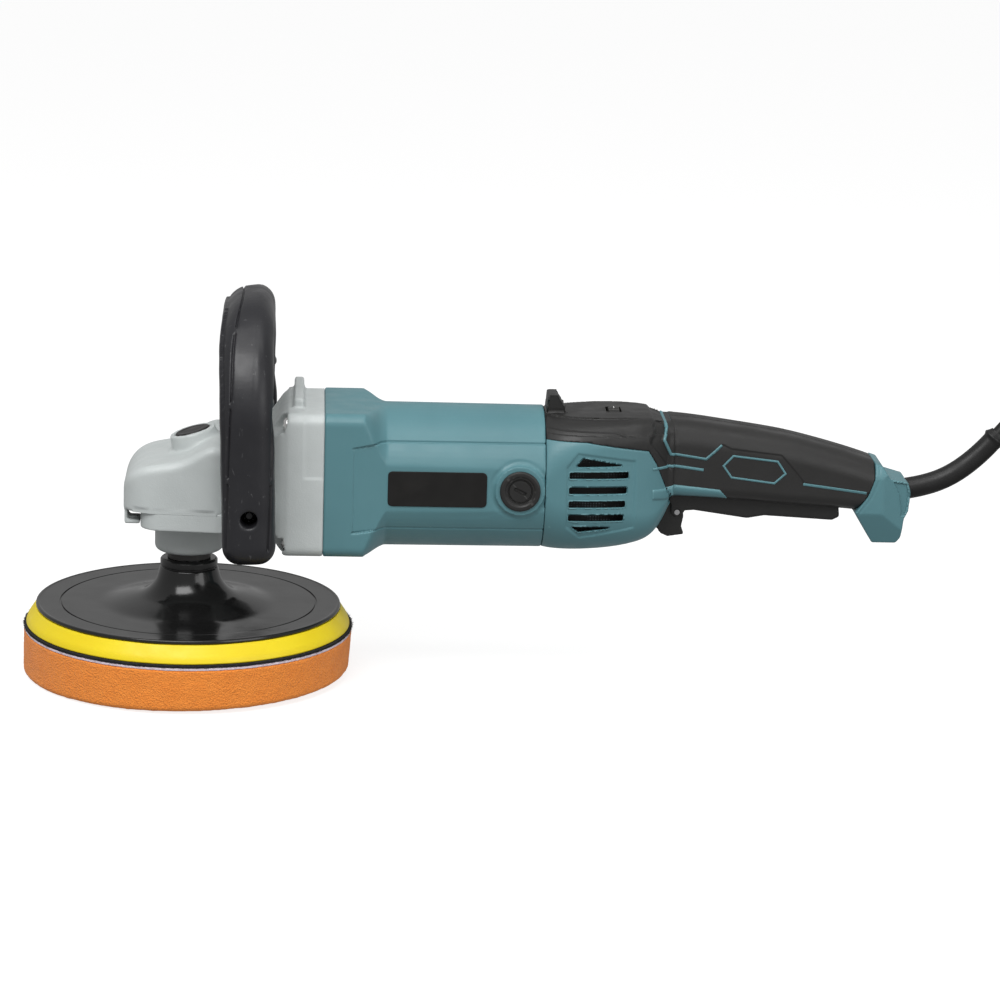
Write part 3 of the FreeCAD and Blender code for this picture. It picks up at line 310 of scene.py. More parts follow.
def make_grip_rubber():
    return moulded("grip_rubber", (0.020, 0.0195, 0.019), (0.06, 0.06, 0.058),
                   (0.015, 0.015, 0.0148), 0.46, grain=0.45, depth=0.04)


def make_casting():
    made = Finish("painted_casting", (0.52, 0.555, 0.55), 0.42, gloss=0.45)
    made.stain(made.noise(18, 3), 0.4, 0.7, 0.5, (0.47, 0.505, 0.50))
    made.stain(made.noise(1.1, 3), 0.62, 0.75, 0.30, (0.60, 0.63, 0.63))
    # Sharp edges painted lighter: a painted highlight along the case's edges and ridge.
    made.stain(made.edges(), 0.53, 0.66, 0.5, (0.66, 0.69, 0.69))
    made.grain(0.75, 3, 0.10)
    made.grain(6, 2, 0.12)
    made.shine(9, 4, 0.36, 0.52)
    return made


def make_plate_plastic():
    made = Finish("plate_plastic", (0.008, 0.008, 0.008), 0.17)
    made.stain(made.noise(1.5, 4), 0.66, 0.8, 0.4, (0.03, 0.03, 0.03))
    made.grain(9, 2, 0.05)
    made.shine(14, 4, 0.12, 0.22)
    return made


def make_pad_foam():
    made = Finish("pad_foam", (0.95, 0.30, 0.050), 0.95, gloss=0.2)
    made.stain(made.noise(9, 3), 0.4, 0.7, 0.5, (0.90, 0.26, 0.040))
    # Pore middles painted darker: painted shade inside the foam's open pores.
    shaded_pores = made.ramp(made.cells(1.1), 0.0, 0.42, 0.75, 0)
    made.paint(shaded_pores, (0.70, 0.17, 0.022))
    made.stain(made.noise(0.7, 3), 0.60, 0.72, 0.55, (0.98, 0.42, 0.10))
    made.bump(made.cells(0.9), 0.45)
    made.grain(0.5, 3, 0.2)
    made.set("Sheen Weight", 0.15)
    return made


def make_loop_fabric():
    made = Finish("loop_fabric", (0.80, 0.68, 0.77), 0.95, gloss=0.2)
    made.stain(made.noise(0.9, 4), 0.45, 0.7, 0.6, (0.93, 0.88, 0.92))
    made.paint(made.ramp(made.cells(1.4), 0.0, 0.35, 0.5, 0), (0.52, 0.40, 0.50))
    made.grain(0.5, 4, 0.35)
    made.set("Sheen Weight", 0.4)
    return made


def make_hook_fabric():
    made = Finish("hook_fabric", (0.018, 0.018, 0.020), 0.85, gloss=0.3)
    made.stain(made.noise(0.6, 3), 0.6, 0.75, 0.6, (0.10, 0.10, 0.105))
    made.grain(0.5, 4, 0.4)
    return made


def make_cushion_foam():
    made = Finish("cushion_foam", (0.84, 0.66, 0.014), 0.42, gloss=0.35)
    made.stain(made.noise(20, 3), 0.4, 0.7, 0.5, (0.80, 0.60, 0.008))
    made.stain(made.noise(1.2, 2), 0.70, 0.78, 0.5, (0.72, 0.52, 0.004))
    made.grain(1.6, 3, 0.06)
    made.set("Subsurface Weight", 0.08)
    made.set("Subsurface Radius", (0.004, 0.003, 0.001))
    made.shine(10, 3, 0.36, 0.5)
    return made


def worn_metal(name, color, rough, scratch=(1, 1, 1), tarnish=None):
    """Bare or plated metal with a fine directional grain and a little tarnish."""
    made = Finish(name, color, rough, metal=1.0)
    if tarnish:
        made.stain(made.noise(5, 4), 0.5, 0.75, 0.6, tarnish)
    made.grain(0.5, 3, 0.02, scratch)
    made.shine(2, 4, rough - 0.07, rough + 0.12, scratch)
    return made


def make_laminations():
    made = worn_metal("laminations", (0.36, 0.36, 0.37), 0.38, tarnish=(0.24, 0.22, 0.21))
    made.bump(made.bands(0.5), 0.12)
    return made


def make_copper():
    made = Finish("copper", (0.72, 0.26, 0.10), 0.28, metal=1.0)
    made.stain(made.noise(3, 3), 0.4, 0.7, 0.6, (0.48, 0.14, 0.05))
    made.bump(made.bands(0.6, "DIAGONAL", 2.0), 0.2)
    return made


def make_carbon():
    made = Finish("carbon", (0.016, 0.016, 0.018), 0.5, metal=0.3)
    made.grain(0.4, 4, 0.05)
    made.stain(made.noise(0.8, 3), 0.6, 0.75, 0.5, (0.06, 0.06, 0.065))
    return made


def make_board():
    made = Finish("board", (0.02, 0.13, 0.05), 0.35)
    tracks = made.ramp(made.bands(2.5, "Y", 3.0), 0.46, 0.54)
    made.paint(tracks, (0.03, 0.19, 0.08))
    made.paint(made.ramp(made.cells(2.6), 0.0, 0.12, 1, 0), (0.6, 0.5, 0.3))
    made.bump(tracks, 0.03)
    return made


def make_vent_shade_and_glints():
    """A near-black screen with dark wire stripes: its dark is painted shade for the housing's
    inside, and pale blotches are painted glints of motor parts.
    """
    made = Finish("vent_shade_and_glints", (0.006, 0.006, 0.007), 0.45, gloss=0.4)
    # Painted glints: bluish and pale blotches stand for the shine of motor parts behind the
    # screen.
    made.stain(made.noise(6, 2, (0.6, 1, 1.6)), 0.52, 0.66, 0.9, (0.10, 0.125, 0.14))
    made.stain(made.noise(3, 2, (0.5, 1, 1.4)), 0.66, 0.72, 0.9, (0.50, 0.52, 0.53))
    for direction in ("X", "Z"):
        wires = made.bands(1.5, direction)
        made.paint(made.ramp(wires, 0.55, 0.85, 0.8, 0), (0.004, 0.004, 0.004))
    return made


def make_label():
    made = Finish("label_black", (0.010, 0.0095, 0.009), 0.34, gloss=0.3)
    made.stain(made.noise(15, 3), 0.4, 0.7, 0.6, (0.016, 0.015, 0.014))
    made.grain(0.3, 2, 0.01)
    made.shine(6, 3, 0.28, 0.42)
    return made


def make_cord_rubber():
    made = Finish("cord_rubber", (0.010, 0.010, 0.010), 0.45, gloss=0.35)
    made.stain(made.noise(20, 4), 0.45, 0.7, 0.6, (0.015, 0.015, 0.015))
    made.grain(1.5, 3, 0.04)
    made.shine(8, 4, 0.36, 0.5)
    return made


FINISHES = {}


def make_finishes():
    made = [
        make_teal(), make_black_plastic(), make_handle_rubber(), make_grip_rubber(),
        make_casting(), make_plate_plastic(), make_pad_foam(), make_loop_fabric(),
        make_hook_fabric(), make_cushion_foam(), make_laminations(), make_copper(),
        make_carbon(), make_board(), make_label(), make_vent_shade_and_glints(), make_cord_rubber(),
        worn_metal("steel", (0.55, 0.55, 0.56), 0.26, (1, 1, 6), (0.40, 0.39, 0.38)),
        worn_metal("zinc_screw", (0.74, 0.74, 0.73), 0.24, tarnish=(0.55, 0.54, 0.50)),
        worn_metal("bolt_black", (0.05, 0.05, 0.052), 0.38),
        worn_metal("aluminium", (0.66, 0.66, 0.67), 0.36, tarnish=(0.5, 0.5, 0.51)),
        worn_metal("brass", (0.70, 0.48, 0.18), 0.28, tarnish=(0.45, 0.30, 0.12)),
        moulded("dial_white", (0.82, 0.82, 0.80), (0.9, 0.9, 0.9), (0.74, 0.74, 0.72), 0.4),
    ]
    for finish in made:
        FINISHES[finish.material.name.split(".")[0]] = finish.material
    for node in NODES.values():
        for place in node.material_slots:
            place.material = FINISHES[place.material.name.split(".")[0]]
    # The near-black screens are painted shade for the housing's inside behind the vents, with
    # painted glints.
    NODES["dust_screens"].material_slots[0].material = FINISHES["vent_shade_and_glints"]


# ------------------------------------------------------------------ mesh helpers

def smooth_step(value, low, high):
    part = np.clip((value - low) / (high - low), 0, 1)
    return part * part * (3 - 2 * part)


def lumps(points, size, seed):
    """Smooth random heights from -1 to 1, about size apart, at each point."""
    count = 64
    table = np.random.default_rng(seed).uniform(-1, 1, (count, count, count))
    grid = points / size
    base = np.floor(grid).astype(int)
    part = grid - base
    part = part * part * (3 - 2 * part)
    total = np.zeros(len(points))
    for corner in itertools.product((0, 1), repeat=3):
        share = np.prod(np.where(corner, part, 1 - part), axis=1)
        cell = (base + corner) % count
        total += share * table[cell[:, 0], cell[:, 1], cell[:, 2]]
    return total


def line_distance(across, up, corners):
    """How far each point is from a line through corners."""
    best = np.full(len(across), np.inf)
    for (ax, az), (bx, bz) in zip(corners, corners[1:]):
        run_x, run_z = bx - ax, bz - az
        t = ((across - ax) * run_x + (up - az) * run_z) / (run_x ** 2 + run_z ** 2)
        t = np.clip(t, 0, 1)
        best = np.minimum(best, np.hypot(across - ax - t * run_x, up - az - t * run_z))
    return best


def depth_inside(across, up, corners):
    """The distance to a closed outline's edge: above 0 inside it, below 0 outside."""
    closed = list(corners) + [corners[0]]
    inside = np.zeros(len(across), bool)
    for (ax, az), (bx, bz) in zip(closed, closed[1:]):
        if az == bz:
            continue
        crosses = (az > up) != (bz > up)
        at = ax + (up - az) / (bz - az) * (bx - ax)
        inside ^= crosses & (across < at)
    return np.where(inside, 1, -1) * line_distance(across, up, closed)


def rounded_path(corners, arc_step=10):
    """An open line through corners; a corner with a radius becomes an arc."""
    points = []
    for n, corner in enumerate(corners):
        here = Vector(corner[:2])
        if len(corner) < 3 or n in (0, len(corners) - 1):
            points.append(tuple(here))
            continue
        back = (Vector(corners[n - 1][:2]) - here).normalized()
        ahead = (Vector(corners[n + 1][:2]) - here).normalized()
        half = back.angle(ahead) / 2
        centre = here + (back + ahead).normalized() * (corner[2] / math.sin(half))
        start = here + back * (corner[2] / math.tan(half)) - centre
        sweep = math.pi - 2 * half
        turn = 1 if back.cross(ahead) < 0 else -1
        steps = max(2, math.ceil(math.degrees(sweep) / arc_step))
        for k in range(steps + 1):
            angle = turn * sweep * k / steps
            points.append((centre.x + start.x * math.cos(angle) - start.y * math.sin(angle),
                           centre.y + start.x * math.sin(angle) + start.y * math.cos(angle)))
    return points


def finer(points, step):
    """The same line with extra points, so that none are further apart than step."""
    made = [points[0]]
    for before, here in zip(points, points[1:]):
        parts = max(1, math.ceil(math.dist(before, here) / step))
        for k in range(1, parts + 1):
            made.append(tuple(a + (b - a) * k / parts for a, b in zip(before, here)))
    return made


def circle(count):
    """The cosine and sine of evenly spaced angles once round."""
    for k in range(count):
        angle = 2 * math.pi * k / count
        yield math.cos(angle), math.sin(angle)


def hoop(at, across, other, radius, count):
    """A ring of points round a spot."""
    return [at + (across * cos + other * sin) * radius for cos, sin in circle(count)]


def seen_along(x, y, angle):
    """How far places are along a direction at an angle, and to its side."""
    return (x * math.cos(angle) + y * math.sin(angle),
            y * math.cos(angle) - x * math.sin(angle))


def grid_faces(rows, columns, closed=False):
    """Quads between rows of points; closed joins each row's end to its start."""
    faces = []
    for i in range(rows - 1):
        for j in range(columns if closed else columns - 1):
            k = (j + 1) % columns
            faces.append((i * columns + j, i * columns + k,
                          (i + 1) * columns + k, (i + 1) * columns + j))
    return faces


def tube_faces(rows, columns):
    """The sides and both ends of a tube whose rings are rows of points."""
    return [*grid_faces(rows, columns, closed=True), tuple(reversed(range(columns))),
            tuple(range((rows - 1) * columns, rows * columns))]


def mesh_of(name, points, faces):
    """A smooth-shaded mesh from points in millimetres."""
    mesh = bpy.data.meshes.new(name)
    mesh.from_pydata([tuple(c * MM for c in p) for p in points], [], faces)
    mesh.update()
    mesh.shade_smooth()
    return mesh


def skin_of(mesh):
    """A mesh's points, in millimetres, and which way it faces at each."""
    count = len(mesh.vertices)
    points, normals = np.empty(count * 3), np.empty(count * 3)
    mesh.vertices.foreach_get("co", points)
    mesh.vertex_normals.foreach_get("vector", normals)
    return points.reshape(-1, 3) / MM, normals.reshape(-1, 3)


def set_points(mesh, points):
    mesh.vertices.foreach_set("co", (points * MM).astype(np.float32).ravel())
    mesh.update()


def turned_mesh(name, profile, segments):
    """A profile of (radius, height) in millimetres, turned once round Z.

    Its first and last points may lie on the axis, where they close the shape.
    """
    rims = [(r, h) for r, h in profile if r > 1e-6]
    points = [(radius * cos, radius * sin, height)
              for radius, height in rims for cos, sin in circle(segments)]
    faces = grid_faces(len(rims), segments, closed=True)
    for end, row in ((0, 0), (-1, len(rims) - 1)):
        if profile[end][0] > 1e-6:
            continue
        points.append((0, 0, profile[end][1]))
        pole = len(points) - 1
        for k in range(segments):
            pair = (row * segments + k, row * segments + (k + 1) % segments)
            faces.append((pair[1], pair[0], pole) if end == 0 else (*pair, pole))
    if profile[0][0] > 1e-6 and profile[-1][0] > 1e-6:
        last = (len(rims) - 1) * segments
        for k in range(segments):
            k2 = (k + 1) % segments
            faces.append((last + k, last + k2, k2, k))
    mesh = mesh_of(name, points, faces)
    outward(mesh)
    return mesh


def outward(mesh):
    """Makes every face look outward, and joins doubled points."""
    work = bmesh.new()
    work.from_mesh(mesh)
    bmesh.ops.remove_doubles(work, verts=work.verts, dist=1e-6)
    bmesh.ops.recalc_face_normals(work, faces=work.faces)
    work.to_mesh(mesh)
    work.free()


def crisp(mesh, angle=40):
    """Keeps edges sharper than an angle crisp, where a mesh is otherwise smooth-shaded."""
    mesh.set_sharp_from_angle(angle=math.radians(angle))
    return mesh


def join(name, meshes):
    """One mesh out of several."""
    work = bmesh.new()
    for mesh in meshes:
        work.from_mesh(mesh)
    joined = bpy.data.meshes.new(name)
    work.to_mesh(joined)
    work.free()
    joined.shade_smooth()
    return joined


def frozen(thing):
    """An object's mesh with its modifiers applied; the object itself is removed."""
    seen = thing.evaluated_get(bpy.context.evaluated_depsgraph_get())
    mesh = bpy.data.meshes.new_from_object(seen)
    bpy.data.objects.remove(thing)
    return mesh


def piece(name, mesh, body, slot, *nodes, look=None):
    """Puts a finished mesh in the scene, on its body, with its material."""
    made = put(name, mesh)
    mesh.materials.clear()
    mesh.materials.append(FINISHES[look or slot])
    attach(made, body)
    if nodes:
        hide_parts(*nodes)
    return made


class Clay:
    """A fine copy of a CAD node's shape with softened edges, to be worked in millimetres."""

    def __init__(self, node, voxel, passes=3):
        mesh = NODES[node].data.copy()
        outward(mesh)
        thing = put("clay", mesh)
        remesh = thing.modifiers.new("Remesh", "REMESH")
        remesh.mode = "VOXEL"
        remesh.voxel_size = voxel * MM
        remesh.use_smooth_shade = True
        smooth = thing.modifiers.new("Smooth", "SMOOTH")
        smooth.factor = 0.5
        smooth.iterations = passes
        self.node, self.mesh = node, frozen(thing)
        self.mesh.name = node
        bpy.data.meshes.remove(mesh)
        self.read()

    def read(self):
        self.points, self.normals = skin_of(self.mesh)
        self.x, self.y, self.z = self.points.T

    def refine(self, near):
        """Halves the edges where detail is to come."""
        work = bmesh.new()
        work.from_mesh(self.mesh)
        work.verts.ensure_lookup_table()
        edges = [e for e in work.edges
                 if near[e.verts[0].index] and near[e.verts[1].index]]
        bmesh.ops.subdivide_edges(work, edges=edges, cuts=1, use_grid_fill=True)
        work.to_mesh(self.mesh)
        work.free()
        self.read()

    def sink(self, depth, where=True):
        """Moves each point inward by its own depth, at some points only."""
        self.move(-self.normals * np.where(where, depth, 0)[:, None])

    def move(self, steps):
        set_points(self.mesh, self.points + steps)
        self.read()

    def shift(self, x=0, y=0, z=0):
        """Moves each point by its own steps along X, Y and Z."""
        none = np.zeros(len(self.x))
        self.move(np.stack([none + x, none + y, none + z], axis=1))

    def facing(self, side=0):
        """Which points look outward to a side: left, right or, for 0, either."""
        out = self.normals[:, 1] * np.sign(self.y)
        right_side = True if side == 0 else np.sign(self.y) == side
        return (out > 0.15) & right_side

    def become(self, name, body, slot):
        """Makes the clay a piece that replaces its CAD node."""
        self.mesh.shade_smooth()
        return piece(name, self.mesh, body, slot, self.node)


def along_line(across, corners):
    """How high a line through corners is at each place across."""
    return np.interp(across, *zip(*corners))


def down_line(up, corners):
    """How far across a falling line through corners is at each height."""
    return np.interp(up, [corner[1] for corner in reversed(corners)],
                     [corner[0] for corner in reversed(corners)])


def ripples(along, pitch, depth):
    """Even ripples along a direction, from 0 to twice their depth."""
    return depth * (1 + np.cos(2 * math.pi * along / pitch))


def groove(distance, half, depth):
    """The depth of a round-bottomed groove at each distance from its line."""
    return depth * (1 - smooth_step(distance, 0, half))


# ------------------------------------------------------------------ the pad and its plate

PAD_SEGMENTS = 560
# The tool's weight squeezes the foam a little thinner toward the back.
FOAM_SQUEEZE = 0.016
FOAM_SHIFT = 0.9 * MM


def roughened(mesh, size, height, seed, floor=None):
    """Lifts and sinks a mesh's points by smooth random heights."""
    points, normals = skin_of(mesh)
    points = points + normals * (height * lumps(points, size, seed))[:, None]
    if floor is not None:
        points[:, 2] = np.maximum(points[:, 2], floor)
    set_points(mesh, points)


def fibres(name, slot, count, seed, ring, heights, lengths, thick):
    """Loose curved threads that stand out from a disc's edge."""
    dice = random.Random(seed)
    points, faces = [], []
    sides, joints = 3, 4
    for _ in range(count):
        angle = dice.uniform(0, 2 * math.pi)
        base = Vector((ring * math.cos(angle), ring * math.sin(angle), dice.uniform(*heights)))
        out = Vector((math.cos(angle), math.sin(angle), dice.uniform(-0.7, 0.7)))
        out += Vector([dice.uniform(-0.6, 0.6) for _ in range(3)])
        curl = Vector([dice.uniform(-1, 1) for _ in range(3)])
        length = dice.uniform(*lengths)
        out.normalize()
        across = out.orthogonal().normalized()
        other = out.cross(across)
        first = len(points)
        for j in range(joints):
            part = j / (joints - 1)
            at = base + out * (length * (part - 0.15)) + curl * (0.4 * length * part ** 2)
            radius = thick * (1 - 0.6 * part)
            points += hoop(at, across, other, radius, sides)
        faces += [tuple(first + n for n in face) for face in tube_faces(joints, sides)]
    piece(name, mesh_of(name, points, faces), "spindle_set", slot)


def fabric_disc(name, node, slot, rim, grain, pile):
    """A cloth disc and the pile at its edge.

    The rim's points are a step out from the edge, then 0 or 1 for the bottom or the top, and
    a step up from there. The grain is a size, a height and a seed. The pile is its piece's
    name, count, seed, steps up from bottom and top, lengths and thickness.
    """
    low, high = box_mm(node)
    edge, levels = high[0], (low[2], high[2])
    line = finer([(edge + out, levels[end] + up) for out, end, up in rim], 0.4)
    disc = turned_mesh(name, [(0, low[2]), *line, (0, high[2])], PAD_SEGMENTS)
    roughened(disc, *grain)
    piece(name, disc, "spindle_set", slot, node)
    pile_name, count, seed, rises, lengths, thick = pile
    fibres(pile_name, slot, count, seed, edge, [a + b for a, b in zip(levels, rises)],
           lengths, thick)


def foam_pad():
    radius, _, top = box_mm("foam_pad")[1]
    profile = finer(rounded_path([(0, 0), (radius - 5, 0), (radius - 0.6, 0.2, 3.2),
                                  (radius - 0.1, top, 1.2), (radius - 6, top), (0, top)]), 0.9)
    inner = [p for p in profile if p[0] > radius - 8]
    profile = [(0, 0), (radius * 0.5, 0), *inner, (radius * 0.5, top), (0, top)]
    foam = turned_mesh("foam_pad_soft", profile, PAD_SEGMENTS)
    for vertex in foam.vertices:
        part = 1 - vertex.co.z / (top * MM)
        vertex.co.z += part * FOAM_SQUEEZE * (vertex.co.x + radius * MM)
        vertex.co.x -= part * FOAM_SHIFT
    roughened(foam, 7, 0.16, 1, floor=0)
    roughened(foam, 1.4, 0.13, 2, floor=0)
    pad = piece("foam_pad_soft", foam, "spindle_set", "pad_foam", "foam_pad")


def cloth_layers():
    fabric_disc("pad_loop_fabric", "pad_loop_layer", "loop_fabric",
                [(-6, 0, 0), (0, 0, 0.1), (0.1, 0, 0.8), (-0.1, 1, -0.05), (-6, 1, 0)],
                (0.9, 0.16, 3), ("pad_loop_pile", 1500, 4, (0.3, 0), (0.3, 0.8), 0.07))
    fabric_disc("plate_hook_tape", "plate_hook_layer", "hook_fabric",
                [(-6, 0, 0), (-0.2, 0, 0.05), (-0.1, 1, -0.05), (-6, 1, 0)],
                (0.8, 0.18, 5), ("plate_hook_pile", 1900, 6, (0.1, 0.1), (0.35, 1.15), 0.085))


def backing_cushion():
    low, high = box_mm("backing_cushion")
    edge, shoulder = high[0], box_mm("backing_plate")[1][0]
    profile = finer(rounded_path([
        (0, low[2]), (edge - 0.2, low[2] + 0.05, 0.7), (edge - 1.3, low[2] + 3.2, 8),
        (shoulder + 0.3, high[2] - 0.1, 0.5), (0, high[2] - 0.1)]), 1.2)
    inner = [p for p in profile if p[0] > edge - 12]
    cushion = turned_mesh("backing_cushion_soft", [(0, low[2]), *inner, (0, high[2] - 0.1)],
                          360)
    roughened(cushion, 16, 0.12, 7)
    soft = piece("backing_cushion_soft", cushion, "spindle_set", "cushion_foam",
                 "backing_cushion")


def backing_plate():
    """The plate, with a thin ring sunk in its face and a groove round its hub."""
    low, high = box_mm("backing_plate")
    rim, hub, bore = high[0], 15.7, box_mm("plate_insert")[1][0]
    ring, face = rim - 13.5, low[2] + 1.9
    profile = rounded_path([
        (bore, low[2] + 3), (bore, low[2]), (rim - 0.4, low[2], 0.5),
        (rim, low[2] + 1.0, 0.6), (rim - 0.3, low[2] + 2.1, 0.7), (rim - 1.4, low[2] + 2.2, 0.4),
        (rim - 2.2, face + 0.05, 0.5), (ring + 0.55, face), (ring + 0.35, face - 0.6),
        (ring - 0.35, face - 0.6), (ring - 0.55, face), (46, face, 30),
        (hub + 4.2, face + 6.2, 16), (hub + 0.2, high[2] - 5.4, 1.2), (hub - 0.5, high[2] - 4.9),
        (hub - 0.5, high[2] - 4.5), (hub, high[2] - 4.1, 0.3), (hub, high[2] - 1.0, 0.5),
        (hub - 0.9, high[2] - 0.05, 0.6), (bore + 1.4, high[2] - 0.05, 0.5), (bore, high[2] - 1)],
        arc_step=6)
    plate = crisp(turned_mesh("backing_plate_moulded", finer(profile, 3), 300), 35)
    piece("backing_plate_moulded", plate, "spindle_set", "plate_plastic", "backing_plate")


# ------------------------------------------------------------------ gear head and loop handle

# How far out the case's and its cover's sides stand, along X.
CASE_WALL = [(-30, 29.5), (-20, 34.0), (-10, 35.0), (0, 36.0), (15, 37.8)]
COVER_WALL = [(-20, 33.9), (0, 35.9), (15, 37.7)]
CASE_SEAM_Z = 96.4


def gear_head():
    """The case and its cover: a seam between them, sides that are level, a stepped rear."""
    case = Clay("gear_case", 0.85, 2)
    front = (case.x < 30) & case.facing() & (np.abs(case.y) > 25)
    case.sink(groove(np.abs(case.z - CASE_SEAM_Z), 0.5, 0.15), front)
    # The case's lower edge is squared.
    gap = along_line(case.x, CASE_WALL) - np.abs(case.y)
    edge = (case.z < 98.5) & (case.z > 95) & (case.x > -30) & (case.x < 16) & (gap < 1.8)
    case.shift(y=np.where(edge, np.sign(case.y) * gap, 0))
    # The roof steps down a little in front of the motor's flange.
    step = (case.x > 54) & (case.x < 73.5) & (case.normals[:, 0] < 0.7) & (case.z > 118)
    case.sink(0.55 * smooth_step(case.x, 61.5, 63.0), step)
    case.become("gear_case_casting", "tool", "painted_casting")

    cover = Clay("gear_case_cover", 0.7, 2)
    reach = along_line(cover.x, COVER_WALL) - box_mm("gear_case_cover")[1][1]
    outer = (np.abs(cover.y) > 26) & (cover.z > 86.5)
    cover.shift(y=np.where(outer, np.sign(cover.y) * np.maximum(reach, 0), 0),
                z=smooth_step(cover.z, 93.5, 95.5))
    cover.become("gear_case_cover_casting", "tool", "painted_casting")


def lock_button():
    """The spindle lock's button: a flat matt disc with a softened rim and a shallow dish."""
    cap = Clay("lock_button", 0.4, 3)
    centre = middle_mm("lock_button")
    up = np.array([-math.sin(LOCK_LEAN), 0, math.cos(LOCK_LEAN)])
    away = cap.points - centre
    along = away @ up
    reach = np.linalg.norm(away - along[:, None] * up, axis=1)
    dish = (cap.normals @ up > 0.7) & (along > 1)
    cap.sink(0.35 * (1 - smooth_step(reach, 5.5, 7.6)), dish)
    cap.become("lock_button_cap", "spindle_lock", "black_plastic")


# Heights above the bolts where the handle's creases break off, their places across it, half
# its width, and the height of the middle of its arch.
HANDLE_BREAKS = (20, 61, 98)
HANDLE_CREASES = (-12.6, 11.2)
HANDLE_HALF = 16
HANDLE_ARCH = HANDLE_BOLT_Z + 54


def handle_map(loop):
    """Heights over the bolts, places across, distances to a crease, and what is outside."""
    height = loop.z - HANDLE_BOLT_Z
    across = seen_along(loop.x - HANDLE_X, height, HANDLE_LEAN)[0]
    centre = np.stack([np.zeros(len(height)), loop.y * 0.5, np.minimum(loop.z, HANDLE_ARCH)],
                      axis=1)
    outer = (loop.normals * (loop.points - centre)).sum(axis=1) > 0.2
    creases = np.min([np.abs(across - at) for at in HANDLE_CREASES], axis=0)
    return height, across, creases, outer


def loop_handle():
    loop = Clay("loop_handle", 0.95, 3)
    height, across, creases, outer = handle_map(loop)
    loop.refine((creases < 1.9) & outer & (height >= -17))
    height, across, creases, outer = handle_map(loop)
    shut = smooth_step(height, -19, -16)
    for gap in HANDLE_BREAKS:
        shut *= smooth_step(np.abs(height - gap), 0.6, 2.4)
    crown = (across / HANDLE_HALF) ** 2
    seam = groove(np.abs(across), 0.7, 0.16) * smooth_step(height, 12, 15)
    loop.sink(groove(creases, 1.1, 1.5) * shut + crown + seam, outer)
    # The front of the arch leans back.
    shoulder = np.clip((loop.z - box_mm("loop_handle")[1][2] + 26) / 26, 0, 1)
    loop.shift(x=5.0 * shoulder ** 2 * smooth_step(HANDLE_X - loop.x + 8, 0, 22))
    loop.sink(0.14 * lumps(loop.points, 9, 21))
    loop.become("loop_handle_moulded", "tool", "handle_rubber")


# ------------------------------------------------------------------ motor housing

# The heights at which the housing's side panels end.
PANEL_TOP, PANEL_LOW = MOTOR_Z + 24.5, MOTOR_Z - 22.9


def motor_housing():
    shell = Clay("motor_housing", 0.75, 2)
    low, high = box_mm("motor_housing")
    front, rear = low[0] + 15.6, high[0]
    # Finer points where the panel's edges will run.
    for level in (PANEL_TOP, PANEL_LOW):
        shell.refine((np.abs(shell.z - level) < 2.2) & shell.facing() & (shell.x > 86))
    shell.refine((np.abs(shell.x - front) < 2.2) & shell.facing()
                 & (shell.z > PANEL_LOW - 2) & (shell.z < PANEL_TOP + 2))
    # The panel is a flat wall that runs in a little toward the rear, and is lower in front.
    near_front = 1 - smooth_step(shell.x, front, 103)
    inside = ((shell.z < PANEL_TOP - 2.6 * near_front) & (shell.z > PANEL_LOW - 1.6 * near_front)
              & (shell.x > front) & (shell.x < 107) & shell.facing())
    wall = 38.9 - 1.7 * smooth_step(shell.x, front, 106)
    cut = np.where(inside, np.maximum(np.abs(shell.y) - wall, 0), 0)
    shell.shift(y=-np.sign(shell.y) * cut)
    lines = [line_distance(shell.x, shell.z, line) for line in (
        [(front, PANEL_TOP - 2.6), (103, PANEL_TOP), (rear, PANEL_TOP)],
        [(front, PANEL_LOW - 1.6), (104, PANEL_LOW), (rear, PANEL_LOW)])]
    shell.sink(groove(np.minimum(*lines), 0.8, 0.75), shell.facing())
    # A shallow ring round each brush cap.
    reach = np.hypot(shell.x - BRUSH_X, shell.z - MOTOR_Z)
    dish = groove(np.abs(reach - 15.6), 1.6, 0.35)
    shell.sink(dish, shell.facing() & (reach > 13.9))
    shell.become("motor_housing_shell", "tool", "teal_housing")
    Clay("side_labels", 0.32, 2).become("side_label_plates", "tool", "label_black")


# A brush cap's face from its middle out: the part of its radius, the rise in millimetres and,
# at a rounded corner, its radius.
CAP_FACE = [(0, -0.7), (0.49, -0.7), (0.53, -0.75), (0.56, -1.5), (0.60, -1.5), (0.63, -0.75),
            (0.70, -0.75), (0.75, -0.2), (0.79, 0), (0.91, 0), (0.99, -0.35, 0.4), (1, -1.4)]


def brush_caps():
    """Screw-in caps: a dished, ringed face round a slotted middle."""
    low, high = box_mm("brush_caps")
    size = (high[0] - low[0]) / 2
    lean = math.radians(-25)
    rings, segments = 60, 96
    profile = even_line(rounded_path([(r * size, h, *rest) for r, h, *rest in CAP_FACE]), rings)
    caps = []
    for side in (LEFT, RIGHT):
        points = []
        for radius, rise in profile[1:]:
            for cos, sin in circle(segments):
                x, z = radius * cos, radius * sin
                along, across = seen_along(x, z, lean)
                slot = float(smooth_step(abs(across), 1.0, 0.65)
                             * smooth_step(abs(along), 3.5, 3.1))
                points.append((BRUSH_X + x, side * (high[1] + rise - 1.1 * slot),
                               MOTOR_Z + z))
        points += [(x, side * 36, z) for x, _, z in points[-segments:]]
        mesh = mesh_of("cap", points, tube_faces(rings, segments))
        outward(mesh)
        caps.append(mesh)
    piece("brush_caps_moulded", crisp(join("brush_caps_moulded", caps), 35), "tool",
          "black_plastic", "brush_caps")


# ------------------------------------------------------------------ rear housing and grip

# Where the cover meets the grips, with a thin ring of the shells between them.
GRIP_FRONT = 262.0
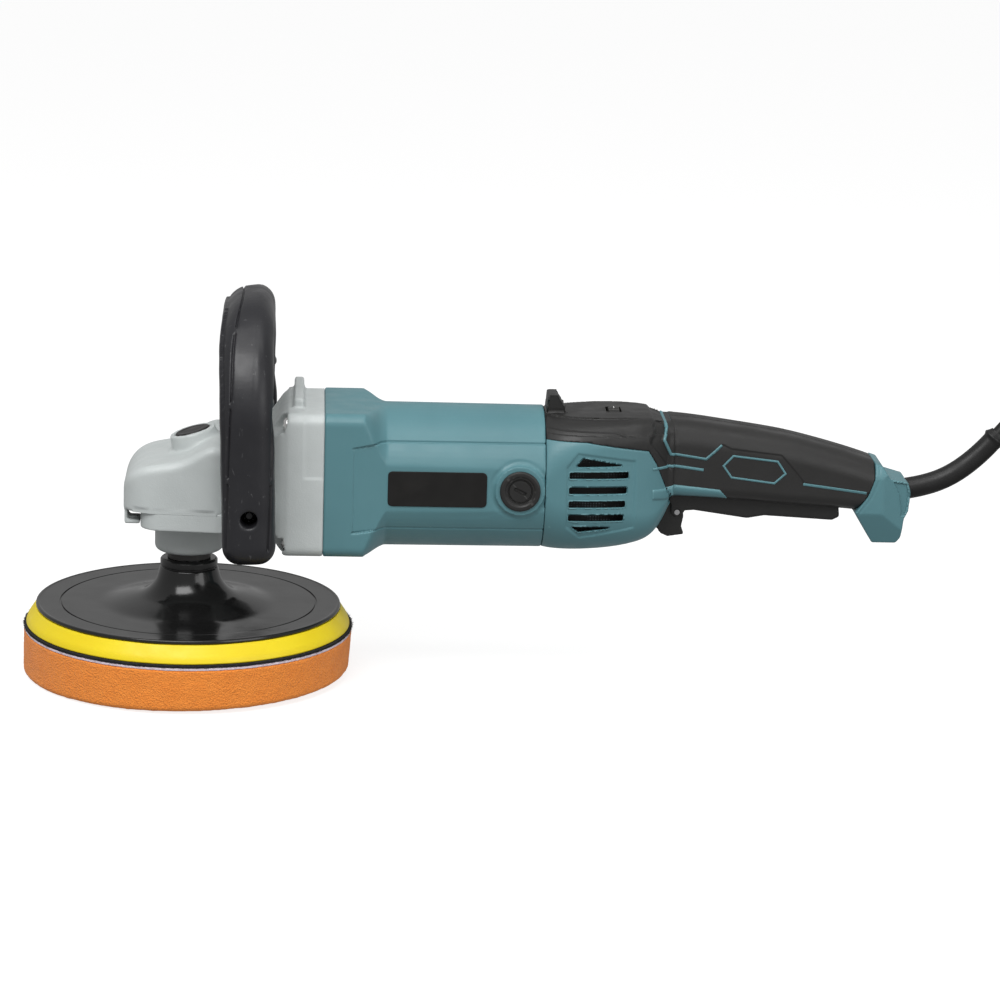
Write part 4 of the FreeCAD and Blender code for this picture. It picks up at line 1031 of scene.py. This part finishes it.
# The sunk panel round the air vents.
VENT_FRAME = [(203.2, 126.0), (209.4, 134.2), (241.2, 129.6), (241.6, 91.6), (211.4, 85.4),
              (203.8, 92.4)]
# The crease along the top cover's sides, which are sunk a little above it.
COVER_CREASE = [(190, 145.6), (229, 145.2), (244.6, 140.4)]
# The edge of the neck between the cover's raised end and the grip, from the roof down.
NECK_EDGE = [(253.6, 157), (252.6, 151.5), (249.0, 145.0), (247.6, 141.0), (248.4, 138.4),
             (252.2, 134.4), (257.1, 127.8), (261.6, 120.0)]
# How far the cover's roof stands above or below its CAD shape, along X.
COVER_END = [(190, -0.5), (200, -0.9), (247, -0.9), (250.5, -0.7), (252.6, -1.9), (257.0, -1.7),
             (260, -0.6), (262, 0)]
# The edge between the raised upper skin of the grip and its flat lower panel.
PANEL_EDGE = [(255.0, 126.6), (261.2, 131.2), (280.5, 128.2), (289.4, 136.6), (294.2, 134.2),
              (321.9, 131.0), (331.6, 120.2), (335.0, 115.6), (369.0, 110.8), (380, 109.4)]
# How wide the teal lines are, how far they stand up, and where they run.
ACCENT_WIDE = 1.5
ACCENT_LIFT = 0.42
ACCENTS = {
    "front": [(258.0, 147.9), (258.4, 145.4), (256.8, 139.6), (260.8, 131.4), (280.5, 128.3),
              (288.8, 136.0)],
    "under": [(250.8, 124.2), (261.1, 124.8), (279.3, 122.2)],
    "rear": [(334.4, 115.0), (369.4, 110.4)],
}
# The wedge's upper and lower edges, and the corners of the hexagon.
WEDGE_TOP = [(251.0, 112.8), (257.0, 112.8), (263.1, 114.0), (288.7, 111.2), (293.0, 106.4)]
WEDGE_LOW = [(251.0, 107.2), (258.0, 106.4), (266.0, 106.8), (293.0, 105.9)]
HEXAGON = [(290.2, 124.6), (295.4, 130.2), (319.8, 127.4), (324.4, 120.7), (318.4, 115.2),
           (294.8, 118.2)]


def rear_housing():
    for side, name in SIDES:
        shell = Clay(f"rear_shell_{name}", 0.5, 2)
        inside = depth_inside(shell.x, shell.z, VENT_FRAME)
        shell.sink(0.7 * smooth_step(inside, -0.3, 0.9), shell.facing(side))
        # The thin ring between the cover and the grips.
        ring = (shell.x > GRIP_FRONT - 1.6) & (shell.x < GRIP_FRONT + 1.4) & (shell.z > 103)
        shell.sink(1.3, ring)
        shell.become(f"rear_shell_{name}_moulded", "tool", "teal_housing")


def top_cover():
    cover = Clay("top_cover", 0.6, 3)
    over = cover.z - along_line(cover.x, COVER_CREASE)
    ends = 1 - smooth_step(cover.x, 234, 245)
    cover.sink(0.9 * ends * smooth_step(over, -0.4, 0.8), cover.facing())
    # The neck is sunk behind its edge, which is softer higher up, and rises at the accent.
    beyond = cover.x - down_line(cover.z, NECK_EDGE)
    soft = 1.0 + 4.0 * smooth_step(cover.z, 137, 143)
    stop = down_line(cover.z, ACCENTS["front"][:4])
    dip = 1.2 * smooth_step(beyond / soft, 0, 1) * (1 - smooth_step(cover.x, stop - 0.9, stop))
    cover.sink(dip, cover.facing() & (cover.z > 118))
    roof = smooth_step(cover.normals[:, 2], 0.15, 0.5) * (cover.z > 143)
    cover.sink(-along_line(cover.x, COVER_END) * roof)
    cover.shift(x=1.3 * smooth_step(cover.x, 259.5, 261.5))
    cover.become("top_cover_moulded", "tool", "black_plastic")


def grips():
    for side, name in SIDES:
        grip = Clay(f"grip_{name}", 0.56, 2)
        front = box_mm(f"grip_{name}")[0][0] + 0.4
        grip.shift(x=-0.9 * (1 - smooth_step(grip.x, front, front + 1.2)))
        grip.sink(-0.15 * (1 - smooth_step(grip.x, front, front + 2.0)))
        # Finer points along the lower panel's edge, and then the sunk panel itself.
        near = line_distance(grip.x, grip.z, PANEL_EDGE) < 1.6
        grip.refine(near & grip.facing(side))
        lower = 1 - smooth_step(grip.z - along_line(grip.x, PANEL_EDGE), -0.5, 0.5)
        grip.sink(0.55 * lower, grip.facing(side) & (grip.x > GRIP_FRONT))
        grip.become(f"grip_{name}_moulded", "tool", "grip_rubber")


def offset_line(corners, shift, closed=False):
    """The same line moved sideways, with mitred corners."""
    count = len(corners)
    moved = []
    for n, corner in enumerate(corners):
        here = Vector(corner)
        sides = []
        if n > 0 or closed:
            sides.append((here - Vector(corners[n - 1])).normalized())
        if n < count - 1 or closed:
            sides.append((Vector(corners[(n + 1) % count]) - here).normalized())
        normals = [Vector((-s.y, s.x)) for s in sides]
        total = sum(normals, Vector((0, 0))).normalized()
        stretch = 1 / max(total.dot(normals[0]), 0.5)
        moved.append(tuple(here + total * (shift * stretch)))
    return moved


def even_line(corners, count):
    """Count points spread evenly along a line, keeping none of its corners in particular."""
    lengths = np.cumsum([0] + [math.dist(a, b) for a, b in zip(corners, corners[1:])])
    at = np.linspace(0, lengths[-1], count)
    return np.stack([np.interp(at, lengths, [c[k] for c in corners]) for k in (0, 1)], axis=1)


class Skin:
    """The outer surface of some pieces, to lay thin inlays on."""

    def __init__(self, *objects):
        self.trees = [BVHTree.FromObject(o, bpy.context.evaluated_depsgraph_get())
                      for o in objects]

    def under(self, across, up, side):
        """Where the skin is, and which way it faces, seen from one side or, for 0, from above."""
        if side:
            start, aim = Vector((across, side * 80, up)) * MM, Vector((0, -side, 0))
        else:
            start, aim = Vector((across, up, 250)) * MM, Vector((0, 0, -1))
        hits = [tree.ray_cast(start, aim) for tree in self.trees]
        hits = [(distance, spot, normal) for spot, normal, _, distance in hits if spot]
        return min(hits, key=lambda hit: hit[0])[1:] if hits else None


def inlay(skin, edges, side):
    """A thin plate between two edge lines, which follows the skin just above it."""
    across = 5
    rows = []
    for ends in zip(*edges):
        spots = even_line(ends, across)
        row = [skin.under(x, z, side) for x, z in spots]
        if all(row):
            rows.append([(spot / MM, normal) for spot, normal in row])
    rises = [ACCENT_LIFT * (0.45 if k in (0, across - 1) else 1.0) for k in range(across)]
    points = [spot + normal * rise for row in rows for (spot, normal), rise in zip(row, rises)]
    count = len(points)
    points += [spot - normal * 0.6 for row in rows for spot, normal in row]
    faces = grid_faces(len(rows), across)
    faces += [tuple(count + n for n in reversed(face)) for face in faces]
    rim = list(range(across))
    rim += [n * across + across - 1 for n in range(1, len(rows))]
    rim += [(len(rows) - 1) * across + k for k in reversed(range(across - 1))]
    rim += [n * across for n in reversed(range(1, len(rows) - 1))]
    for a, b in zip(rim, rim[1:] + rim[:1]):
        faces.append((b, a, count + a, count + b))
    mesh = mesh_of("accent", points, faces)
    outward(mesh)
    return mesh


def accents():
    """The thin teal lines, the hexagon and the wedge in the grip's sides."""
    skin = Skin(*[bpy.data.objects[f"{part}_moulded"] for part in (
        "grip_left", "grip_right", "rear_shell_left", "rear_shell_right", "top_cover")])
    half = ACCENT_WIDE / 2
    for side, name in SIDES:
        strips = []
        for line in ACCENTS.values():
            count = int(sum(math.dist(a, b) for a, b in zip(line, line[1:])) / 0.6)
            strips.append([even_line(offset_line(line, s), count) for s in (half, -half)])
        loops = [offset_line(HEXAGON, s, closed=True) for s in (half * 0.75, -half * 0.75)]
        strips.append([np.concatenate([even_line(pair, 30) for pair in zip(
            edge, edge[1:] + edge[:1])]) for edge in loops])
        strips.append([even_line(edge, 80) for edge in (WEDGE_TOP, WEDGE_LOW)])
        meshes = [inlay(skin, strip, side) for strip in strips]
        line_x = ACCENTS["front"][0][0]
        band = [even_line([(line_x + s, side * 17.5), (line_x + s, 0)], 50)
                for s in (half, -half)]
        meshes.append(inlay(skin, band, 0))
        piece(f"grip_accents_{name}", join(f"grip_accents_{name}", meshes), "tool",
              "teal_housing")


# The rear edge of the end cap's collar, and the edge where the cap meets the shells.
CAP_COLLAR = [(378.2, 124.5), (383.6, 117.6), (388.0, 109.6), (389.6, 100.4)]
CAP_LIP = [(373.9, 131), (373.7, 118), (369.9, 108), (362.6, 98)]


def end_cap():
    cap = Clay("end_cap", 0.5, 2)
    behind = cap.x - down_line(cap.z, CAP_COLLAR)
    cap.sink(1.5 * smooth_step(behind, -0.2, 1.0), cap.facing() & (cap.z > 97))
    line = np.abs(cap.x - down_line(cap.z, CAP_LIP) - 2.6)
    cap.sink(groove(line, 0.7, 0.3), cap.facing())
    cap.become("end_cap_moulded", "tool", "teal_housing")


# ------------------------------------------------------------------ controls

def trigger():
    Clay("trigger", 0.5, 3).become("trigger_moulded", "paddle", "black_plastic")


def lock_off_lever():
    """The lever, with ribs down its front and along its lower edge."""
    lever = Clay("lock_off_lever", 0.42, 3)
    low = box_mm("lock_off_lever")[0]
    ribs = (lever.x < low[0] + 4.5) | (lever.z < low[2] + 3)
    ribs &= lever.normals[:, 0] < -0.5
    lever.sink(ripples(lever.z - low[2], 1.9, 0.18), ribs)
    lever.become("lock_off_lever_moulded", "lever", "black_plastic")


def dial_digits():
    """Printed digits on the speed wheel's rim, spread over its travel."""
    centre = middle_mm("speed_dial")
    low, high = box_mm("speed_dial")
    radius = (high[2] - low[2]) / 2
    for n in range(6):
        turn = math.radians(-54 * n)
        curve = bpy.data.curves.new(f"dial_digit_{n + 1}", "FONT")
        curve.body = str(n + 1)
        curve.size = 4.2 * MM
        curve.extrude = 0.12 * MM
        curve.align_x, curve.align_y = "CENTER", "CENTER"
        mesh = frozen(put(f"dial_digit_{n + 1}", curve))
        spot = Matrix.Translation(Vector((low[0] + 3, centre[1], high[2] - radius)) * MM)
        face = Matrix.Rotation(turn, 4, "X") @ Matrix.Translation((0, 0, (radius - 0.02) * MM))
        mesh.transform(spot @ face)
        piece(f"dial_digit_{n + 1}", mesh, "dial", "zinc_screw", look="dial_white")


# ------------------------------------------------------------------ screws

def screw_head(radius, height, recess):
    """A domed head, looking up +Z from 0, whose recess(x, y) gives its depth at a point."""
    rings, segments = 26, 72
    profile = rounded_path([(0, height), (radius * 0.55, height * 0.97, radius * 2),
                            (radius, height * 0.35, radius * 0.35), (radius, 0)], 8)
    spots = even_line(profile, rings)
    points = [(0, 0, height - recess(0, 0))]
    for reach, level in spots[1:]:
        for cos, sin in circle(segments):
            x, y = reach * cos, reach * sin
            points.append((x, y, level - recess(x, y)))
    faces = [tuple(n + 1 for n in face) for face in grid_faces(rings - 1, segments, True)]
    faces += [(0, 1 + k, 1 + (k + 1) % segments) for k in range(segments)]
    last = 1 + (rings - 2) * segments
    faces.append(tuple(last + k for k in reversed(range(segments))))
    mesh = mesh_of("head", points, faces)
    outward(mesh)
    return crisp(mesh, 50)


def cross_recess(size):
    """A Phillips cross: four tapering wings round a deep middle."""
    def depth(x, y):
        u, v = abs(x), abs(y)
        along, aside = max(u, v), min(u, v)
        wing = 0.19 * size
        inside = 1 - smooth_step(aside, wing * 0.8, wing * 1.25)
        reach = 1 - smooth_step(along, size * 0.50, size * 0.66)
        return float(size * 0.42 * inside * reach * (1.15 - along / size))
    return depth


def hex_recess(half, deep):
    def depth(x, y):
        spread = max(abs(x * math.cos(a) + y * math.sin(a))
                     for a in (0, math.pi / 3, 2 * math.pi / 3))
        return float(deep * (1 - smooth_step(spread, half * 0.93, half * 1.05)))
    return depth


def screw_set(name, node, slot, spots, axes, head, shank, recess):
    """Every screw of a node: spots are where the head meets the shank, in millimetres."""
    meshes = []
    for n, (spot, axis) in enumerate(zip(spots, axes)):
        top = screw_head(*head, recess)
        stem = turned_mesh("stem", [(0, -shank[1]), (shank[0] - 0.3, -shank[1]),
                                    (shank[0], -shank[1] + 0.5), (shank[0], 0), (0, 0)], 24)
        turn = Vector(axis).to_track_quat("Z", "Y").to_matrix().to_4x4()
        spin = Matrix.Rotation(math.radians(23 + 31 * n), 4, "Z")
        both = join("screw", [top, stem])
        both.transform(Matrix.Translation(Vector(spot) * MM) @ turn @ spin)
        meshes.append(both)
    piece(name, crisp(join(name, meshes), 50), "tool", slot, node)


def inset(node, axis, by):
    """The two places along an axis that lie a distance inside a node's box."""
    low, high = box_mm(node)
    return low[axis] + by, high[axis] - by


def screws():
    front = box_mm("flange_screws")[0][0] + 3
    spots = [(front, y, z) for y in inset("flange_screws", 1, 3.9)
             for z in inset("flange_screws", 2, 3.9)]
    screw_set("flange_screws_panhead", "flange_screws", "zinc_screw", spots,
              [(-1, 0, 0)] * 4, (3.9, 3.0), (2.0, 33.5), cross_recess(3.6))
    bottom = box_mm("cover_screws")[0][2] + 2.4
    spots = [(x, y, bottom) for x in inset("cover_screws", 0, 4)
             for y in inset("cover_screws", 1, 4)]
    screw_set("cover_screws_panhead", "cover_screws", "zinc_screw", spots,
              [(0, 0, -1)] * 4, (4.0, 2.4), (2.05, 8.9), cross_recess(3.6))
    spots = [(HANDLE_X, y, HANDLE_BOLT_Z) for y in inset("handle_bolts", 1, 4.6)]
    screw_set("handle_bolts_socket", "handle_bolts", "bolt_black", spots,
              [(0, -1, 0), (0, 1, 0)], (4.3, 4.6), (3.0, 23.0), hex_recess(2.2, 2.8))


# ------------------------------------------------------------------ cord, sleeve and plug

CORD_THICK = 8 * MM
# Out of the end cap, up over its own arch and down to the top of the coil.
ROUTE = [
    (388, 0, 108.4), (399, 0, 109.6), (417, 0, 115.6), (433, 0, 128), (447, 0, 144.5),
    (461, 2, 161), (478, 6, 172.5), (498, 12, 175.5), (518, 20, 168), (534, 30, 153),
    (546, 41, 132), (554, 50, 107), (559, 54, 80), (561, 50, 55), (561, 36, 36.5),
    (560, 18, 29.6), (559, 2, 28.2),
]
# From the coil's lowest turn along the floor and up into the plug's tail.
LEAD = [(524, 57.5, 4), (536, 60, 4), (549, 65, 4.6), (562, 72, 8), (575, 78.5, 11.5),
        (588, 84, 13)]
PLUG_HEADING = math.radians(22.5)


def coil_place(turn):
    """The ring and the layer of a coil's turn; every other layer winds back inward."""
    layer, column = divmod(turn, 3)
    return np.array((column if layer % 2 == 0 else 2 - column, layer))


def coil_points():
    """Three layers of three turns, wound clockwise from the top, a cord's width apart."""
    low, high = box_mm("cord_coil")
    centre = (low + high) / 2
    thick = CORD_THICK / MM
    inner = high[0] - centre[0] - 2.5 * thick
    steps, stray, turns = 18, 0.25, 8.75
    dice = random.Random(12)
    points = []
    for n in range(1, int(turns * steps)):
        turn = n / steps
        whole, part = int(turn), turn - int(turn)
        here, after = coil_place(whole), coil_place(whole + 1)
        ring, depth = here + (after - here) * smooth_step(part, 0.80, 1.0)
        height = high[2] - thick / 2 - thick * depth
        height += thick * (1 - smooth_step(turn, 0.0, 0.2))
        radius = (inner + thick * ring) / math.cos(math.pi / steps)
        radius += dice.uniform(-stray, stray)
        angle = -2 * math.pi * turn
        points.append((centre[0] + radius * math.cos(angle),
                       centre[1] + radius * math.sin(angle), max(height, thick / 2)))
    return points


def nurbs_line(name, points):
    """One smooth open NURBS line whose control points are these, in millimetres."""
    curve = bpy.data.curves.new(name, "CURVE")
    curve.dimensions = "3D"
    spline = curve.splines.new("NURBS")
    spline.points.add(len(points) - 1)
    for spot, point in zip(spline.points, points):
        spot.co = (*[c * MM for c in point], 1)
    spline.order_u = 3
    spline.use_endpoint_u = True
    curve.resolution_u = 8
    return curve


def line_points(curve):
    """The points of a curve's own line, in millimetres."""
    bare = bpy.data.objects.new("bare", curve)
    mesh = bpy.data.meshes.new_from_object(bare)
    points = [v.co / MM for v in mesh.vertices]
    bpy.data.meshes.remove(mesh)
    bpy.data.objects.remove(bare)
    return points


def tube_along(name, line, radius_at, segments=40):
    """A closed tube round a line; radius_at gives its radius at each distance along."""
    points, along = [], 0.0
    across = Vector((0, 1, 0))
    for n, here in enumerate(line):
        ahead = (line[min(n + 1, len(line) - 1)] - line[max(n - 1, 0)]).normalized()
        if n:
            along += (here - line[n - 1]).length
        across = (across - ahead * across.dot(ahead)).normalized()
        other = ahead.cross(across)
        points += hoop(here, across, other, radius_at(along), segments)
    mesh = mesh_of(name, points, tube_faces(len(line), segments))
    outward(mesh)
    return crisp(mesh, 45)


def stretch_of(line, start, stop, step):
    """The part of a line between two distances, with a point every step."""
    lengths = np.cumsum([0] + [(b - a).length for a, b in zip(line, line[1:])])
    at = np.arange(start, stop + step / 2, step)
    columns = [np.interp(at, lengths, [p[k] for p in line]) for k in range(3)]
    return [Vector(p) for p in zip(*columns)]


SLEEVE_LONG = 64.0


def sleeve_radius(along):
    """The strain relief's radius: a slight taper, a bead near its tip, and a rounded tip."""
    bead = 0.95 * math.exp(-((along - SLEEVE_LONG + 3.6) / 1.1) ** 2)
    tip = 0.9 * float(smooth_step(along, SLEEVE_LONG - 2.6, SLEEVE_LONG + 0.4))
    return 5.95 - 0.35 * along / SLEEVE_LONG + bead - tip


def plug():
    """The plug, with ripples round its neck and finger grips on its sides."""
    clay = Clay("plug", 0.6, 4)
    tail = LEAD[-1]
    along, aside = seen_along(clay.x - tail[0], clay.y - tail[1], PLUG_HEADING)
    neck = (along > 1.5) & (along < 18)
    clay.sink(ripples(along, 3.2, 0.55), neck)
    scoop = (along > 34) & (along < 47) & (np.abs(aside) > 12)
    clay.sink(ripples(along, 2.8, 0.35), scoop)
    return clay.become("plug_moulded", "tool", "cord_rubber")


def cord():
    curve = nurbs_line("mains_cord", ROUTE + coil_points() + LEAD)
    line = line_points(curve)
    curve.bevel_depth = CORD_THICK / 2
    curve.bevel_resolution = 6
    flex = put("mains_cord", curve)
    curve.materials.append(FINISHES["cord_rubber"])
    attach(flex, "tool")
    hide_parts("cord_tube", "cord_coil")
    sleeve = tube_along("cord_sleeve_moulded", stretch_of(line, 3, 3 + SLEEVE_LONG, 0.5),
                        sleeve_radius)
    guard = piece("cord_sleeve_moulded", sleeve, "tool", "cord_rubber", "cord_sleeve")
    plug()


# ------------------------------------------------------------------ everything together


make_finishes()
stage_camera()
stage_light()
stage_floor()
cord()
foam_pad()
cloth_layers()
backing_cushion()
backing_plate()
gear_head()
lock_button()
loop_handle()
motor_housing()
brush_caps()
rear_housing()
top_cover()
grips()
accents()
end_cap()
trigger()
lock_off_lever()
dial_digits()
screws()
